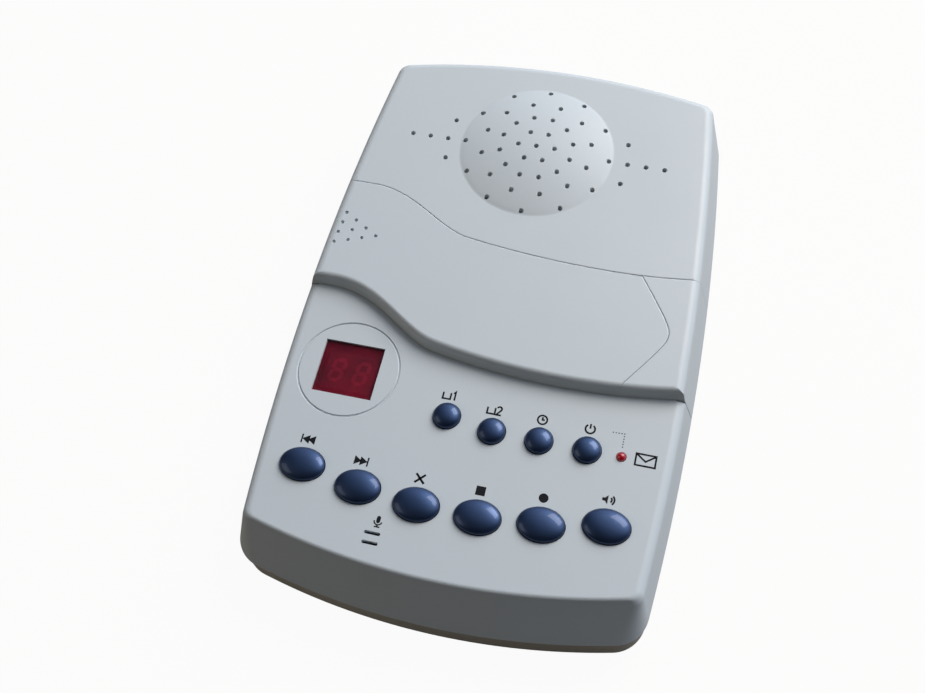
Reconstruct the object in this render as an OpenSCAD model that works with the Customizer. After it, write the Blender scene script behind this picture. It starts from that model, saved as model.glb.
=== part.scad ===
// Desktop answering machine: a tray, a rear cover with a pierced speaker dome, a wave-shaped
// battery lid, a centre frame, a sloping control panel with ten sprung buttons, and the works.
// X runs across, Y towards the back, Z up; the origin is on the table under the middle.

/* [Housing] */
// Length over the parting line
body_l = 205; // [203:1:212]
// Width over the parting line
body_w = 137; // [136:1:142]
// Height of the rear top face above the table
top_z = 32; // [32:0.5:36]
// Height of the parting line above the table
parting_z = 12.8; // [12.4:0.2:14]
// Drop from the rear top face to the control panel
step_h = 4.7; // [4.2:0.1:5]
// Wall of every shell
wall = 2.2; // [2:0.1:2.4]
// Radius of the top edges
edge_r = 3.4; // [2.4:0.2:4]
// Lean of the side walls from upright, in degrees
side_lean = 14; // [11:1:15]
// How far the front wall leans back over its height
front_lean = 10.7; // [9:0.1:12]
// Radius of the bowed sides in plan
side_r = 900; // [800:10:1200]
// Radius of the bowed front in plan
front_r = 240; // [220:5:300]
// Radius of the bowed back in plan
back_r = 250; // [220:5:300]
// Radius of the corners in plan
corner_r = 11; // [9:0.5:12]
// Radius of the corners at the top edges
top_corner_r = 3.4; // [3:0.2:6]
// Gap between neighbouring shells
seam_gap = 0.3; // [0.25:0.05:0.4]
// Width of the bevel along a seam
seam_bevel = 0.4; // [0.3:0.05:0.5]

/* [Speaker] */
// Distance of the speaker's centre behind the middle, as a share of the body's length
speaker_share = 0.3102; // [0.305:0.001:0.315]
// Diameter of the speaker's rim
speaker_d = 57; // [55:1:57]
// Radius of the raised dome
dome_r = 29; // [28:0.5:29.5]
// Height of the dome over the rear face
dome_h = 3.2; // [2.6:0.1:3.6]
// Pitch of the rings of sound holes
hole_pitch = 6.45; // [6:0.05:6.6]
// Diameter of a sound hole
hole_d = 1.6; // [1.2:0.1:1.8]

/* [Battery bay] */
// Length of the battery block
cell_l = 48.5; // [47:0.5:49]
// Width of the battery block
cell_w = 26.5; // [25:0.5:27]
// Thickness of the battery block
cell_t = 17.5; // [16.5:0.5:17.5]
// Room round the battery
cell_gap = 0.5; // [0.4:0.1:0.8]
// How far the lid slides to unhook
lid_travel = 12; // [10:0.5:13]

/* [Buttons] */
// Pitch of the six large buttons
key_pitch = 19.3; // [18.8:0.1:19.6]
// Length of a large button
key_l = 14.6; // [14:0.1:15.2]
// Width of a large button
key_w = 11; // [10.5:0.1:11.6]
// Diameter of a small button
dot_d = 8.8; // [8.4:0.1:9.2]
// Height of a button over the panel
key_h = 2.6; // [2.2:0.1:3]
// Travel of a button
key_travel = 1; // [0.8:0.1:1.2]
// Gap between a button and its hole
key_gap = 0.25; // [0.2:0.05:0.35]

/* [Display] */
// Width of the display window
window_w = 20.2; // [19:0.1:21]
// Depth of the display window
window_d = 18.8; // [18:0.1:20]
// Radius of the ring groove round the window
ring_r = 16.8; // [16:0.1:17.5]
// Diameter of the message lamp
lamp_d = 3; // [2.8:0.1:3.2]

/* [Sockets and feet] */
// Width of a line socket's body
socket_w = 13; // [12.6:0.1:13.4]
// Height of a line socket's body
socket_h = 12.2; // [11.8:0.1:12.4]
// Diameter of the volume wheel
wheel_d = 20; // [19:0.5:21]
// Diameter of a rubber foot
foot_d = 12; // [10:0.5:13]
// How far a foot stands out of the tray
foot_h = 1.5; // [1.2:0.1:2]

/* [Hidden] */

$fn = 64;
EPS = 0.01;
BIG = 200;

// Heights
panel_z = top_z - step_h;
under_z = panel_z - wall;              // underside of the control panel
lid_under_z = top_z - wall;            // underside of the lid and the rear cover
deck_t = 2;
deck_z = lid_under_z - seam_gap - deck_t;
board_t = 1.6;
display_t = 7;
board_z = under_z - 0.1 - display_t;   // top face of the main board
tray_z = foot_h;                       // underside of the tray
floor_z = tray_z + wall;               // inside of the tray
line_board_z = floor_z + 3;            // top face of the line board

// Plan places, measured on a body 137 wide and 205 long
function across(x) = x * body_w / 137;
function along(y) = y * body_l / 205;
function placed(p) = [across(p[0]), along(p[1])];

front_y = -body_l / 2;
back_y = body_l / 2;
wide_y = along(-12);                   // where the body is widest
speaker_y = speaker_share * body_l;
keys_y = along(-70.2);                 // row of large buttons at the middle
keys_bow = 0.0024;                     // how fast that row bends back with x squared
dot_places = [for (p = [[-7.5, -39.4], [7.6, -41.6], [22.8, -41.7], [38, -41.7]]) placed(p)];
key_places = [for (i = [-2.5:2.5]) [i * key_pitch, keys_y + keys_bow * pow(i * key_pitch, 2)]];
window_place = placed([-43.2, -29.7]);
lamp_place = placed([48.7, -41.7]);
mic_place = placed([-20.5, -83]);
slot_l = 5.1;
slot_w = 0.8;
slot_pitch = 3.1;

// Seams: y at the left, lowest y and its x, radii either side of it, and where the wave rises
rear_seam = [along(39.8), along(20.3), 34.6, 319, 192, -53.8, -15.4];
step_seam = [along(0.4), along(-21.5), 25.9, 219, 219, -57.6, -17.3];
step_round = 2;                        // radius along the top of the step
step_foot = 1;                         // how far the step's foot stands forward
shelf_d = 2.6;                         // how far the panel reaches under the step
// Right end of the lid: apex x and y, slope of its two sides, and how round its nose is
lid_end = [across(59.1), along(0.4), 0.71, 2.7];
lid_clear = 0.2;                       // height of the lid over the panel

// Battery bay
snap_l = 6.5;
bay_l = cell_l + snap_l + 2 * cell_gap;
bay_w = cell_w + 2 * cell_gap;
bay_x = 15.4;
bay_y = along(1);
bay_wall = 1.6;
bay_floor_z = lid_under_z - seam_gap - cell_gap - cell_t;
hook_places = [for (p = [[-50, 30], [-46, 13.5], [-29, 5], [-8, 19.5]]) [p[0], along(p[1])]];
hook_w = 4;
hook_t = 1.8;
hook_toe = 5;
tongue_w = 9;
tongue_t = 1;
tongue_l = 1.7;
deck_edge = shelf_d + 1.2;            // how far the deck's front edge lies behind the step

// Grip dimples at the lid's left end, in columns of 4, 3, 2 and 1
grip_place = placed([-59.4, 26.35]);
grip_column = [4.2, -2.5];             // from one column to the next
grip_row = [-0.35, -4.1];              // from one dimple to the next in a column
grip_d = 1.2;
grip_rise = 0.2;                       // height of a dimple's centre over the lid

// Screws and their posts
screw_d = 2.9;
screw_clear = 0.05;
post_d = 7;
case_screw_l = 10;
case_places = [
  [-body_w / 2 + 17, back_y - 14.5], [body_w / 2 - 17, back_y - 14.5],
  [-body_w / 2 + 14, along(20)], [body_w / 2 - 14, along(26)],
  [-body_w / 2 + 10.5, along(-72)], [body_w / 2 - 10.5, along(-72)]
];
head_deep = 4.2;                       // from the tray's underside to the seat of a screw's head
board_places = [for (p = [[-53, -48], [53.5, -33], [-42, -80], [44, -80], [0, -31]]) placed(p)];
board_post_d = 5.6;
board_screw_d = 2.2;
board_screw_l = 4.4;
board_head_d = 4.4;
board_head_t = 1.4;
foot_places = [for (sx = [-1, 1], sy = [[front_y + 18, 22], [back_y - 30, 20]])
  [sx * (body_w / 2 - sy[1]), sy[0]]];

// Sockets on the line board, measured from the middle of the back
socket_d = 14.5;
line_socket_x = -34;
phone_socket_x = -15;
power_socket_x = 6;
power_w = 9;
power_h = 11;
power_d = 13.5;
plug_hole_d = 6.3;
plug_pin_d = 2;
socket_gap = 0.4;
back_lean = 3;                         // lean of the back wall, degrees

// Volume wheel on the left side
wheel_y = along(58);
wheel_t = 3.4;
wheel_out = 1;
pot_w = 10;
pot_t = 5;
pot_shaft_r = 2.5;
shaft_clear = 0.06;

// Speaker
rim_t = 1;
gasket_t = 1.8;
rim_z = lid_under_z - gasket_t;        // top of the speaker's rim
basket_h = 8;
magnet_r = 16;
magnet_h = 9;
ring_wall = 1.6;
cone_rim_t = 0.7;
washer_d = 13;
washer_t = 0.8;
tab_y = 21.3;                          // solder tab of the speaker, from its centre
tab_z = 7.2;                           // underside of that tab below the rim

// Tray: how far its top edge and the foot of its sides lie inside the parting line, and its lip
tray_top = 0.3;
tray_side = 3.2;
lip_h = 1.5;
lip_t = 1;
lip_gap = 0.3;

SHELL = "#bcc3ca";
BASE = "#b7b5b1";
KEY = "#2c3b5e";
RUBBER = "#3a3a3c";
BOARD = "#2f6b42";
METAL = "#b9bcc0";
BLACK = "#1f1f22";

// ---------- Plan outline: four bowed sides and four round corners, all tangent arcs ----------

function arc(c, r, a, b, n) = [for (i = [0:n]) c + r * [cos(a + (b - a) * i / n), sin(a + (b - a) * i / n)]];

// The point at distance r1 from c1 and r2 from c2, on the right of the line from c1 to c2 if side is 1
function meet(c1, r1, c2, r2, side) =
  let (
    v = c2 - c1, d = norm(v), u = v / d,
    a = (r1 * r1 - r2 * r2 + d * d) / (2 * d), h = sqrt(r1 * r1 - a * a)
  )
  c1 + a * u + side * h * [u[1], -u[0]];

function heading(v) = atan2(v[1], v[0]);

// Right half of the outline, front to back, pulled in by the amounts given for each side
function half_outline(side, front, back, corner) =
  let (
    cs = [body_w / 2 - side - side_r, wide_y],
    cf = [0, front_y + front + front_r],
    cb = [0, back_y - back - back_r],
    kf = meet(cs, side_r - corner, cf, front_r - corner, 1),
    kb = meet(cs, side_r - corner, cb, back_r - corner, -1),
    af = heading(kf - cf), as = heading(kf - cs), bs = heading(kb - cs), ab = heading(kb - cb)
  )
  concat(
    arc(cf, front_r, -90, af, 5), arc(kf, corner, af + (as - af) / 5, as, 4),
    arc(cs, side_r, as + (bs - as) / 6, bs, 5), arc(kb, corner, bs + (ab - bs) / 5, ab, 4),
    arc(cb, back_r, ab + (90 - ab) / 5, 90, 4)
  );

function outline(side, front, back, corner) =
  let (h = half_outline(side, front, back, corner), n = len(h))
  concat(h, [for (i = [n - 2:-1:1]) [-h[i][0], h[i][1]]]);

function lifted(points, z) = [for (p = points) [p[0], p[1], z]];

// A closed solid through rings of points, each anticlockwise seen from the last ring's side
module loft(rings) {
  n = len(rings[0]);
  last = len(rings) - 1;
  polyhedron(
    points = [for (r = rings) each r],
    faces = concat(
      [[for (j = [0:n - 1]) j], [for (j = [n - 1:-1:0]) last * n + j]],
      [for (i = [0:last - 1], j = [0:n - 1]) [i * n + j, (i + 1) * n + j, (i + 1) * n + (j + 1) % n]],
      [for (i = [0:last - 1], j = [0:n - 1]) [i * n + j, (i + 1) * n + (j + 1) % n, i * n + (j + 1) % n]]
    ),
    convexity = 6
  );
}

// Levels are [z, side, front, back, corner]
module stack(levels) {
  loft([for (v = levels) lifted(outline(v[1], v[2], v[3], v[4]), v[0])]);
}

function lean_at(z) = tan(side_lean) * (z - parting_z);
function back_at(z) = tan(back_lean) * (z - parting_z);
function front_at(z) = front_lean * (z - parting_z) / (panel_z - parting_z);

// Outer form of the rear half, up to a top face at height z
module rear_form(z = top_z) {
  foot = z - edge_r * (1 - sin(side_lean));
  stack(concat(
    [[parting_z + seam_gap, 0, 0, 0, corner_r]],
    [for (a = [side_lean:(90 - side_lean) / 5:90.01])
      let (in = edge_r * (cos(side_lean) - cos(a)))
      [z - edge_r * (1 - sin(a)), lean_at(foot) + in, in, back_at(foot) + in, top_corner_r + 1 - in / 3]]
  ));
}

// Hollow under it, with walls of the given thickness and a ceiling at height z
module rear_hollow(t = wall, z = lid_under_z) {
  stack([
    [parting_z - 1, t, t, t, corner_r - t],
    [parting_z, t, t, t, corner_r - t],
    [z - 1.5, lean_at(z - 1.5) + t, t, back_at(z) + t, top_corner_r + 1],
    [z, lean_at(z) + t + 1.2, t + 1.2, back_at(z) + t + 1.2, top_corner_r]
  ]);
}

// Outer form of the control panel, crisp along the top of its sloping front wall
module panel_form() {
  foot = panel_z - edge_r * (1 - sin(side_lean));
  crisp = 0.5;
  stack(concat(
    [[parting_z + seam_gap, 0, 0, 0, corner_r]],
    [for (a = [side_lean:(90 - side_lean) / 5:90.01])
      let (in = edge_r * (cos(side_lean) - cos(a)), z = panel_z - edge_r * (1 - sin(a)))
      [z, lean_at(foot) + in, min(front_at(z), front_lean - crisp) + (a > 89 ? crisp * 1.6 : 0), 0,
        top_corner_r + 0.6 - in / 3]]
  ));
}

module panel_hollow() {
  t = wall * 1.2;
  stack([
    [parting_z - 1, wall, t, wall, corner_r - wall],
    [parting_z, wall, t, wall, corner_r - wall],
    [under_z - 1, lean_at(under_z - 1) + wall, front_at(under_z - 1) + t, wall, top_corner_r],
    [under_z, lean_at(under_z) + wall + 1, front_at(under_z) + t, wall, top_corner_r]
  ]);
}

// ---------- Seams ----------

function smooth(t) = let (u = max(0, min(1, t))) u * u * (3 - 2 * u);

// A seam's y at x: a bow whose left end is lifted in a wave
function seam_y(x, s) =
  let (low = s[1] + pow(x - s[2], 2) / (2 * (x < s[2] ? s[3] : s[4])), k = smooth((x - s[5]) / (s[6] - s[5])))
  s[0] + (low - s[0]) * k;

SEAM_X = [for (x = [-80:4:80]) x];
function seam_path(s, off = 0) = [for (x = SEAM_X) [x, seam_y(x, s) + off]];

module behind(s, off, z0 = -1, z1 = top_z + 10) {
  translate([0, 0, z0]) linear_extrude(z1 - z0)
    polygon(concat(seam_path(s, off), [[80, BIG], [-80, BIG]]));
}

module ahead(s, off, z0 = -1, z1 = top_z + 10) {
  translate([0, 0, z0]) linear_extrude(z1 - z0)
    polygon(concat([[-80, -BIG], [80, -BIG]], [for (i = [len(SEAM_X) - 1:-1:0]) seam_path(s, off)[i]]));
}

function lid_end_x(y) = lid_end[0] - sqrt(pow(lid_end[2] * (y - lid_end[1]), 2) + pow(lid_end[3], 2));
function lid_end_path(off) = [for (y = [-34:3.4:34.1]) [lid_end_x(y) + off, y]];

module left_of_end(off, z0 = -1) {
  translate([0, 0, z0]) linear_extrude(BIG)
    polygon(concat([[-90, -60], [lid_end_x(-34), -60]], lid_end_path(off), [[lid_end_x(34), 60], [-90, 60]]));
}

// A V-shaped strip along a path, cut from both neighbours of a seam
module seam_groove(path) {
  w = seam_bevel;
  n = len(path);
  loft([for (i = [0:n - 1])
    let (v = path[min(i + 1, n - 1)] - path[max(i - 1, 0)], q = [-v[1], v[0]] / norm(v) * 2 * w, p = path[i])
    [[p[0] - q[0], p[1] - q[1], top_z - w / 2 - EPS + w * 1.5], [p[0], p[1], top_z - w - w / 2 + EPS],
      [p[0] + q[0], p[1] + q[1], top_z - w / 2 - EPS + w * 1.5]]
  ]);
}

// Everything in front of the step and over the panel, with the rounded top of the step
module step_cut() {
  r = step_round;
  loft([for (x = SEAM_X)
    let (y = seam_y(x, step_seam))
    concat(
      [[x, y - step_foot, -1], [x, y - step_foot, panel_z]],
      [for (a = [0:22.5:90]) [x, y + r * (1 - cos(a)), top_z - r + r * sin(a)]],
      [[x, y + r, top_z + 5], [x, -BIG, top_z + 5], [x, -BIG, -1]]
    )
  ]);
}

// The wave band between the two seams, as an outer form
module band_form() {
  difference() {
    intersection() {
      rear_form();
      ahead(rear_seam, -seam_gap / 2);
    }
    step_cut();
    seam_groove(seam_path(rear_seam));
  }
}

// ---------- Housing ----------

module post(p, z0, z1, d, bore, depth) {
  translate([p[0], p[1], z0]) difference() {
    cylinder(h = z1 - z0, d = d);
    translate([0, 0, -EPS]) cylinder(h = depth, d = bore);
  }
}

module case_post(i, z1) {
  post(case_places[i], parting_z + 0.1, z1, post_d, screw_d + 2 * screw_clear, case_screw_l);
}

// Openings in the back wall for the three sockets, and the slot for the volume wheel
module side_openings() {
  sockets = [
    [line_socket_x, socket_w, socket_h], [phone_socket_x, socket_w, socket_h],
    [power_socket_x, power_w, power_h]
  ];
  for (s = sockets)
    translate([s[0] - s[1] / 2 - socket_gap, back_y - 14, line_board_z - socket_gap])
      cube([s[1] + 2 * socket_gap, 20, s[2] + 2 * socket_gap]);
  translate([wheel_x(), wheel_y, wheel_z() - socket_gap])
    cylinder(h = wheel_t + 2 * socket_gap, d = wheel_d + 2);
}

function side_x(y) = body_w / 2 - pow(y - wide_y, 2) / (2 * side_r);
function wheel_z() = parting_z + 1.6;
function wheel_x() = -(side_x(wheel_y) - lean_at(wheel_z() + wheel_t) + wheel_out - wheel_d / 2);

// A form that follows the inside of the upper shells, for the tray's locating lip
module lip(t, front_t, z0, z1) {
  stack([
    [z0, t - 0.1, t - 0.1, t - 0.1, corner_r - wall],
    [parting_z, t, front_t, t, corner_r - wall],
    [z1, t + lean_at(z1), front_t + front_at(z1), t + back_at(z1), corner_r - wall]
  ]);
}

module base_tray() {
  color(BASE) difference() {
    union() {
      difference() {
        stack([
          [tray_z, tray_side + 1.2, 1.8, 1.8, corner_r - 2],
          [tray_z + 0.5, tray_side + 0.3, 0.6, 0.8, corner_r - 0.6],
          [tray_z + 1.5, tray_side, 0, tray_top, corner_r],
          [parting_z, tray_top, tray_top, tray_top, corner_r]
        ]);
        stack([
          [floor_z, tray_side + wall + 0.9, 3.6, 3.8, corner_r - 3],
          [floor_z + 1, tray_side + wall - 0.1, 2.7, 2.8, corner_r - 2.4],
          [parting_z + 1, tray_top + wall + 0.1, 2.7, 2.8, corner_r - 2.4]
        ]);
      }
      difference() {
        lip(wall + lip_gap, wall * 1.2 + lip_gap, parting_z - 3, parting_z + lip_h);
        lip(wall + lip_gap + lip_t, wall * 1.2 + lip_gap + lip_t, parting_z - 4, parting_z + lip_h + 1);
      }
      for (p = case_places) translate([p[0], p[1], floor_z - EPS])
        cylinder(h = parting_z - floor_z, d = post_d + 1);
      for (p = line_posts) translate([p[0], p[1], floor_z - EPS])
        cylinder(h = line_board_z - board_t - floor_z + EPS, d = 5);
    }
    for (p = line_posts) translate([p[0], p[1], line_board_z - board_screw_l - 0.2])
      cylinder(h = 5, d = board_screw_d + 2 * screw_clear);
    for (p = case_places) {
      translate([p[0], p[1], tray_z - 1]) cylinder(h = 20, d = screw_d + 0.6);
      translate([p[0], p[1], tray_z - 1]) cylinder(h = 1 + head_deep, d = 6.2);
    }
    for (p = foot_places) translate([p[0], p[1], tray_z - 1]) cylinder(h = 1.8, d = foot_d + 0.4);
    side_openings();
  }
}

// Edges of the line board, clear of the rear case screws, and the posts under it
line_edge = body_w / 2 - 22.5;
line_front = back_y - 32;
line_posts = [[2.5 - line_edge, back_y - 22], [line_edge - 4, back_y - 10], [line_edge - 4, back_y - 28],
  [wheel_x() + 3.5, wheel_y - 10]];

module speaker_hole(p) {
  translate([p[0], p[1], lid_under_z - 3]) cylinder(h = dome_h + wall + 6, d = hole_d, $fn = 24);
}

function ring_hole(k, a) = [k * hole_pitch * cos(a), speaker_y + k * hole_pitch * sin(a)];
function hole_places() = concat(
  [ring_hole(0, 0)],
  [for (i = [0:5]) ring_hole(1, 60 * i)],
  [for (i = [0:11]) ring_hole(2, 15 + 30 * i)],
  [for (i = [0:11]) ring_hole(3, 15 + 30 * i)],
  [for (i = [0:11]) ring_hole(4, 30 * i)],
  [for (s = [0, 180], a = [-15, 0, 15]) ring_hole(5, s + a)],
  [for (s = [0, 180], k = [6, 7]) ring_hole(k, s)]
);

clamp_r = speaker_d / 2 + 5;
clamp_places = [for (a = [30, 150, 210, 330]) [clamp_r * cos(a), speaker_y + clamp_r * sin(a)]];

module speaker_cover() {
  ball = (dome_r * dome_r + dome_h * dome_h) / (2 * dome_h);
  color(SHELL) difference() {
    union() {
      difference() {
        intersection() {
          rear_form();
          behind(rear_seam, seam_gap / 2);
        }
        rear_hollow();
        seam_groove(seam_path(rear_seam));
      }
      intersection() {
        translate([0, speaker_y, top_z + dome_h - ball]) sphere(r = ball, $fn = 128);
        translate([0, speaker_y, lid_under_z + 0.5]) cylinder(h = 10, r = dome_r + 1);
      }
      translate([0, speaker_y, rim_z - rim_t]) difference() {
        cylinder(h = gasket_t + rim_t + EPS, d = speaker_d + 2 * ring_wall + 0.6);
        translate([0, 0, -1]) cylinder(h = 10, d = speaker_d + 0.6);
      }
      translate([0, speaker_y, rim_z + cone_rim_t + 0.1]) difference() {
        cylinder(h = gasket_t - cone_rim_t - 0.1 + EPS, d = speaker_d + 2);
        translate([0, 0, -1]) cylinder(h = 10, d = speaker_d - 5);
      }
      for (p = clamp_places) translate([p[0], p[1], rim_z - rim_t])
        cylinder(h = lid_under_z - rim_z + rim_t + EPS, d = 6);
      for (i = [0, 1]) case_post(i, lid_under_z + EPS);
    }
    intersection() {
      translate([0, speaker_y, top_z + dome_h - ball]) sphere(r = ball - wall, $fn = 128);
      translate([0, speaker_y, lid_under_z - 1]) cylinder(h = 10, r = speaker_d / 2 - 2.5);
    }
    for (p = clamp_places) translate([p[0], p[1], rim_z - rim_t - 1])
      cylinder(h = 3.4, d = board_screw_d + 2 * screw_clear);
    for (p = hole_places()) speaker_hole(p);
    side_openings();
  }
}

module hook_slot(p) {
  translate([p[0] - lid_travel - 0.6, p[1] - hook_w / 2 - 0.4, deck_z - 1])
    cube([lid_travel + hook_t + 1, hook_w + 0.8, deck_t + 2]);
}

module centre_frame() {
  color(SHELL) difference() {
    union() {
      // Raised right end, cored from below, and the side wall under it
      difference() {
        band_form();
        left_of_end(seam_gap / 2);
        seam_groove(lid_end_path(0));
        intersection() {
          rear_hollow();
          behind(step_seam, wall);
          difference() {
            ahead(rear_seam, 10);
            left_of_end(wall);
          }
        }
        intersection() {
          rear_hollow(z = lid_under_z);
          ahead(rear_seam, 10, 0, panel_z + lid_clear);
        }
      }
      // Deck under the lid
      intersection() {
        rear_hollow(wall + 0.3, lid_under_z);
        behind(step_seam, deck_edge, deck_z, deck_z + deck_t);
        ahead(rear_seam, 4);
      }
      // Web that carries the raised end from the deck
      intersection() {
        rear_hollow(wall + 0.3, lid_under_z + 1);
        behind(step_seam, wall + 0.2, deck_z + 1, lid_under_z + 1);
        ahead(rear_seam, -seam_gap / 2);
        difference() {
          left_of_end(wall);
          left_of_end(seam_gap / 2, -2);
        }
      }
      // Battery box
      translate([bay_x - bay_l / 2 - bay_wall, bay_y - bay_w / 2 - bay_wall, bay_floor_z - bay_wall])
        cube([bay_l + 2 * bay_wall, bay_w + 2 * bay_wall, deck_z - bay_floor_z + bay_wall + 1]);
      for (i = [2, 3]) case_post(i, deck_z + 1);
    }
    translate([bay_x - bay_l / 2, bay_y - bay_w / 2, bay_floor_z]) cube([bay_l, bay_w, BIG]);
    for (p = hook_places) hook_slot(p);
    translate([bay_x - bay_l / 2 - bay_wall - 1, bay_y - 3.4, bay_floor_z + cell_t / 2 - 1.4])
      cube([bay_wall + 2, 6.8, 2.8]);
    translate([lid_end_x(lid_end[1]) - 2, lid_end[1] - tongue_w / 2 - 0.3, lid_under_z - seam_gap - EPS])
      cube([2 + tongue_l + 0.5, tongue_w + 0.6, tongue_t + seam_gap + 0.2]);
  }
}

module battery_lid() {
  color(SHELL) difference() {
    union() {
      difference() {
        intersection() {
          band_form();
          left_of_end(-seam_gap / 2);
        }
        seam_groove(lid_end_path(0));
        intersection() {
          rear_hollow();
          behind(step_seam, wall);
        }
        intersection() {
          rear_hollow();
          ahead(rear_seam, 10, 0, panel_z + lid_clear);
        }
      }
      translate([lid_end_x(lid_end[1]) - 4, lid_end[1] - tongue_w / 2, lid_under_z])
        cube([4 + tongue_l, tongue_w, tongue_t]);
      for (p = hook_places) translate([p[0], p[1] - hook_w / 2, deck_z - 1.4]) {
        cube([hook_t, hook_w, lid_under_z - deck_z + 1.4 + EPS]);
        cube([hook_t + hook_toe, hook_w, 1.2]);
      }
    }
    for (c = [0:3], r = [0:3 - c])
      translate(concat(grip_place + c * grip_column + r * grip_row, [top_z + grip_rise]))
        sphere(d = grip_d, $fn = 24);
  }
}

function oval(l, w, n = 32) = [for (i = [0:n - 1]) [l / 2 * cos(360 * i / n), w / 2 * sin(360 * i / n)]];

// A block of the window's size, larger all round by the margin
module window_block(margin, z, h) {
  translate([window_place[0] - window_w / 2 - margin, window_place[1] - window_d / 2 - margin, z])
    cube([window_w + 2 * margin, window_d + 2 * margin, h]);
}

module control_panel() {
  color(SHELL) difference() {
    union() {
      difference() {
        intersection() {
          panel_form();
          ahead(step_seam, -step_foot - seam_gap);
        }
        panel_hollow();
      }
      // Shelf under the step
      intersection() {
        rear_hollow(wall + 0.3, top_z);
        ahead(step_seam, shelf_d, under_z, panel_z);
        behind(step_seam, -6);
      }
      for (p = board_places)
        post(p, board_z, under_z + EPS, board_post_d, board_screw_d + 2 * screw_clear, board_screw_l);
      for (i = [4, 5]) case_post(i, under_z + EPS);
    }
    for (p = key_places) translate([p[0], p[1], under_z - 1]) linear_extrude(wall + 2)
      polygon(oval(key_l + 2 * key_gap, key_w + 2 * key_gap));
    for (p = dot_places) translate([p[0], p[1], under_z - 1]) cylinder(h = wall + 2, d = dot_d + 2 * key_gap);
    translate([lamp_place[0], lamp_place[1], under_z - 1]) cylinder(h = wall + 2, d = lamp_d + 0.2);
    for (s = [-0.5, 0.5]) translate([mic_place[0], mic_place[1] + s * slot_pitch, under_z - 1])
      translate([-slot_l / 2, -slot_w / 2, 0]) cube([slot_l, slot_w, wall + 2]);
    window_block(0, under_z - 1, wall + 2);
    window_block(1, under_z - 1, wall + 0.1);
    translate([window_place[0], window_place[1], panel_z - 0.4]) difference() {
      cylinder(h = 1, r = ring_r + 0.3);
      translate([0, 0, -1]) cylinder(h = 3, r = ring_r - 0.3);
    }
  }
}

// ---------- Buttons ----------

mat_t = 1;
mat_crush = 0.9;                       // height of a pressed dome over the mat
mat_top_z = board_z + mat_t + mat_crush + key_travel;
mat_outline = [
  [-57, -60], [-48, -58], [-14, -58], [-14, -33.5], [44.5, -35], [44.5, -50], [57, -58],
  [57, -74], [30, -77], [-30, -77], [-57, -74]
];
domes = concat(key_places, dot_places);
key_under_z = under_z - 0.1;
key_edge = 0.5;                        // upright edge of a button over the panel
flange_t = 1;
flange_out = 1.2;
stem_d = 5.6;

module large_button(i) {
  p = key_places[i];
  color(KEY) translate([p[0], p[1], 0]) {
    loft(concat(
      [for (z = [key_under_z - EPS, panel_z + key_edge]) lifted(oval(key_l, key_w), z)],
      [for (a = [20:17.5:90])
        let (k = cos(a) + 0.01)
        lifted(oval(key_l * k, key_w * k), panel_z + key_edge + (key_h - key_edge) * sin(a))]
    ));
    translate([0, 0, key_under_z - flange_t]) linear_extrude(flange_t)
      polygon(oval(key_l + 2 * flange_out, key_w + 2 * flange_out));
    translate([0, 0, mat_top_z]) cylinder(h = key_under_z - flange_t - mat_top_z + EPS, d = stem_d);
  }
}

module small_button(i) {
  p = dot_places[i];
  dome = key_h - key_edge;
  r = (pow(dot_d / 2, 2) + dome * dome) / (2 * dome);
  color(KEY) translate([p[0], p[1], 0]) {
    intersection() {
      translate([0, 0, key_under_z - EPS]) cylinder(h = wall + key_h + 1, d = dot_d);
      translate([0, 0, panel_z + key_h - r]) sphere(r = r);
    }
    translate([0, 0, key_under_z - flange_t]) cylinder(h = flange_t, d = dot_d + 2 * flange_out);
    translate([0, 0, mat_top_z]) cylinder(h = key_under_z - flange_t - mat_top_z + EPS, d = stem_d);
  }
}

module repeat_button() { large_button(0); }
module skip_button() { large_button(1); }
module erase_button() { large_button(2); }
module stop_button() { large_button(3); }
module memo_button() { large_button(4); }
module greeting_button() { large_button(5); }
module mailbox_1_button() { small_button(0); }
module mailbox_2_button() { small_button(1); }
module time_button() { small_button(2); }
module power_button() { small_button(3); }

module key_mat() {
  color("#77797c") difference() {
    union() {
      translate([0, 0, board_z]) linear_extrude(mat_t) polygon([for (p = mat_outline) placed(p)]);
      for (p = domes) translate([p[0], p[1], board_z]) cylinder(h = mat_top_z - board_z, r1 = 5.4, r2 = 3.4);
    }
    for (p = domes) translate([p[0], p[1], board_z - EPS])
      cylinder(h = mat_t + mat_crush, r1 = 4.2, r2 = 2.9);
    for (p = board_places) translate([p[0], p[1], board_z - 1]) cylinder(h = 4, d = board_post_d + 1);
    for (i = [4, 5]) translate([case_places[i][0], case_places[i][1], board_z - 1])
      cylinder(h = 4, d = post_d + 1);
  }
}

// ---------- Main board and what it carries ----------

board_outline = [
  [-57, -38], [-54, -20], [-30, -20], [-24, -25], [57, -25], [57, -64], [52, -66], [50, -84], [20, -88],
  [-20, -88], [-50, -84], [-52, -66], [-57, -64]
];

module main_board() {
  color(BOARD) difference() {
    translate([0, 0, board_z - board_t]) linear_extrude(board_t) polygon([for (p = board_outline) placed(p)]);
    for (p = board_places) translate([p[0], p[1], board_z - 4]) cylinder(h = 8, d = board_screw_d + 0.4);
  }
}

module display_module() {
  color("#d9d9d6") translate([window_place[0] - 8.6, window_place[1] - 7, board_z])
    cube([17.2, 14, display_t]);
}

module display_window() {
  color("#5a0c14") window_block(0.8, under_z + 0.1, 1.15);
}

module message_lamp() {
  color("#a01420") translate([lamp_place[0], lamp_place[1], board_z]) {
    cylinder(h = 4, d = 1.2);
    translate([0, 0, 3]) cylinder(h = 1, d = lamp_d + 0.9);
    translate([0, 0, 3.5]) cylinder(h = panel_z - board_z - 3.5 - 0.3, d = lamp_d);
    translate([0, 0, panel_z - board_z - 0.3]) sphere(d = lamp_d);
  }
}

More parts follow.
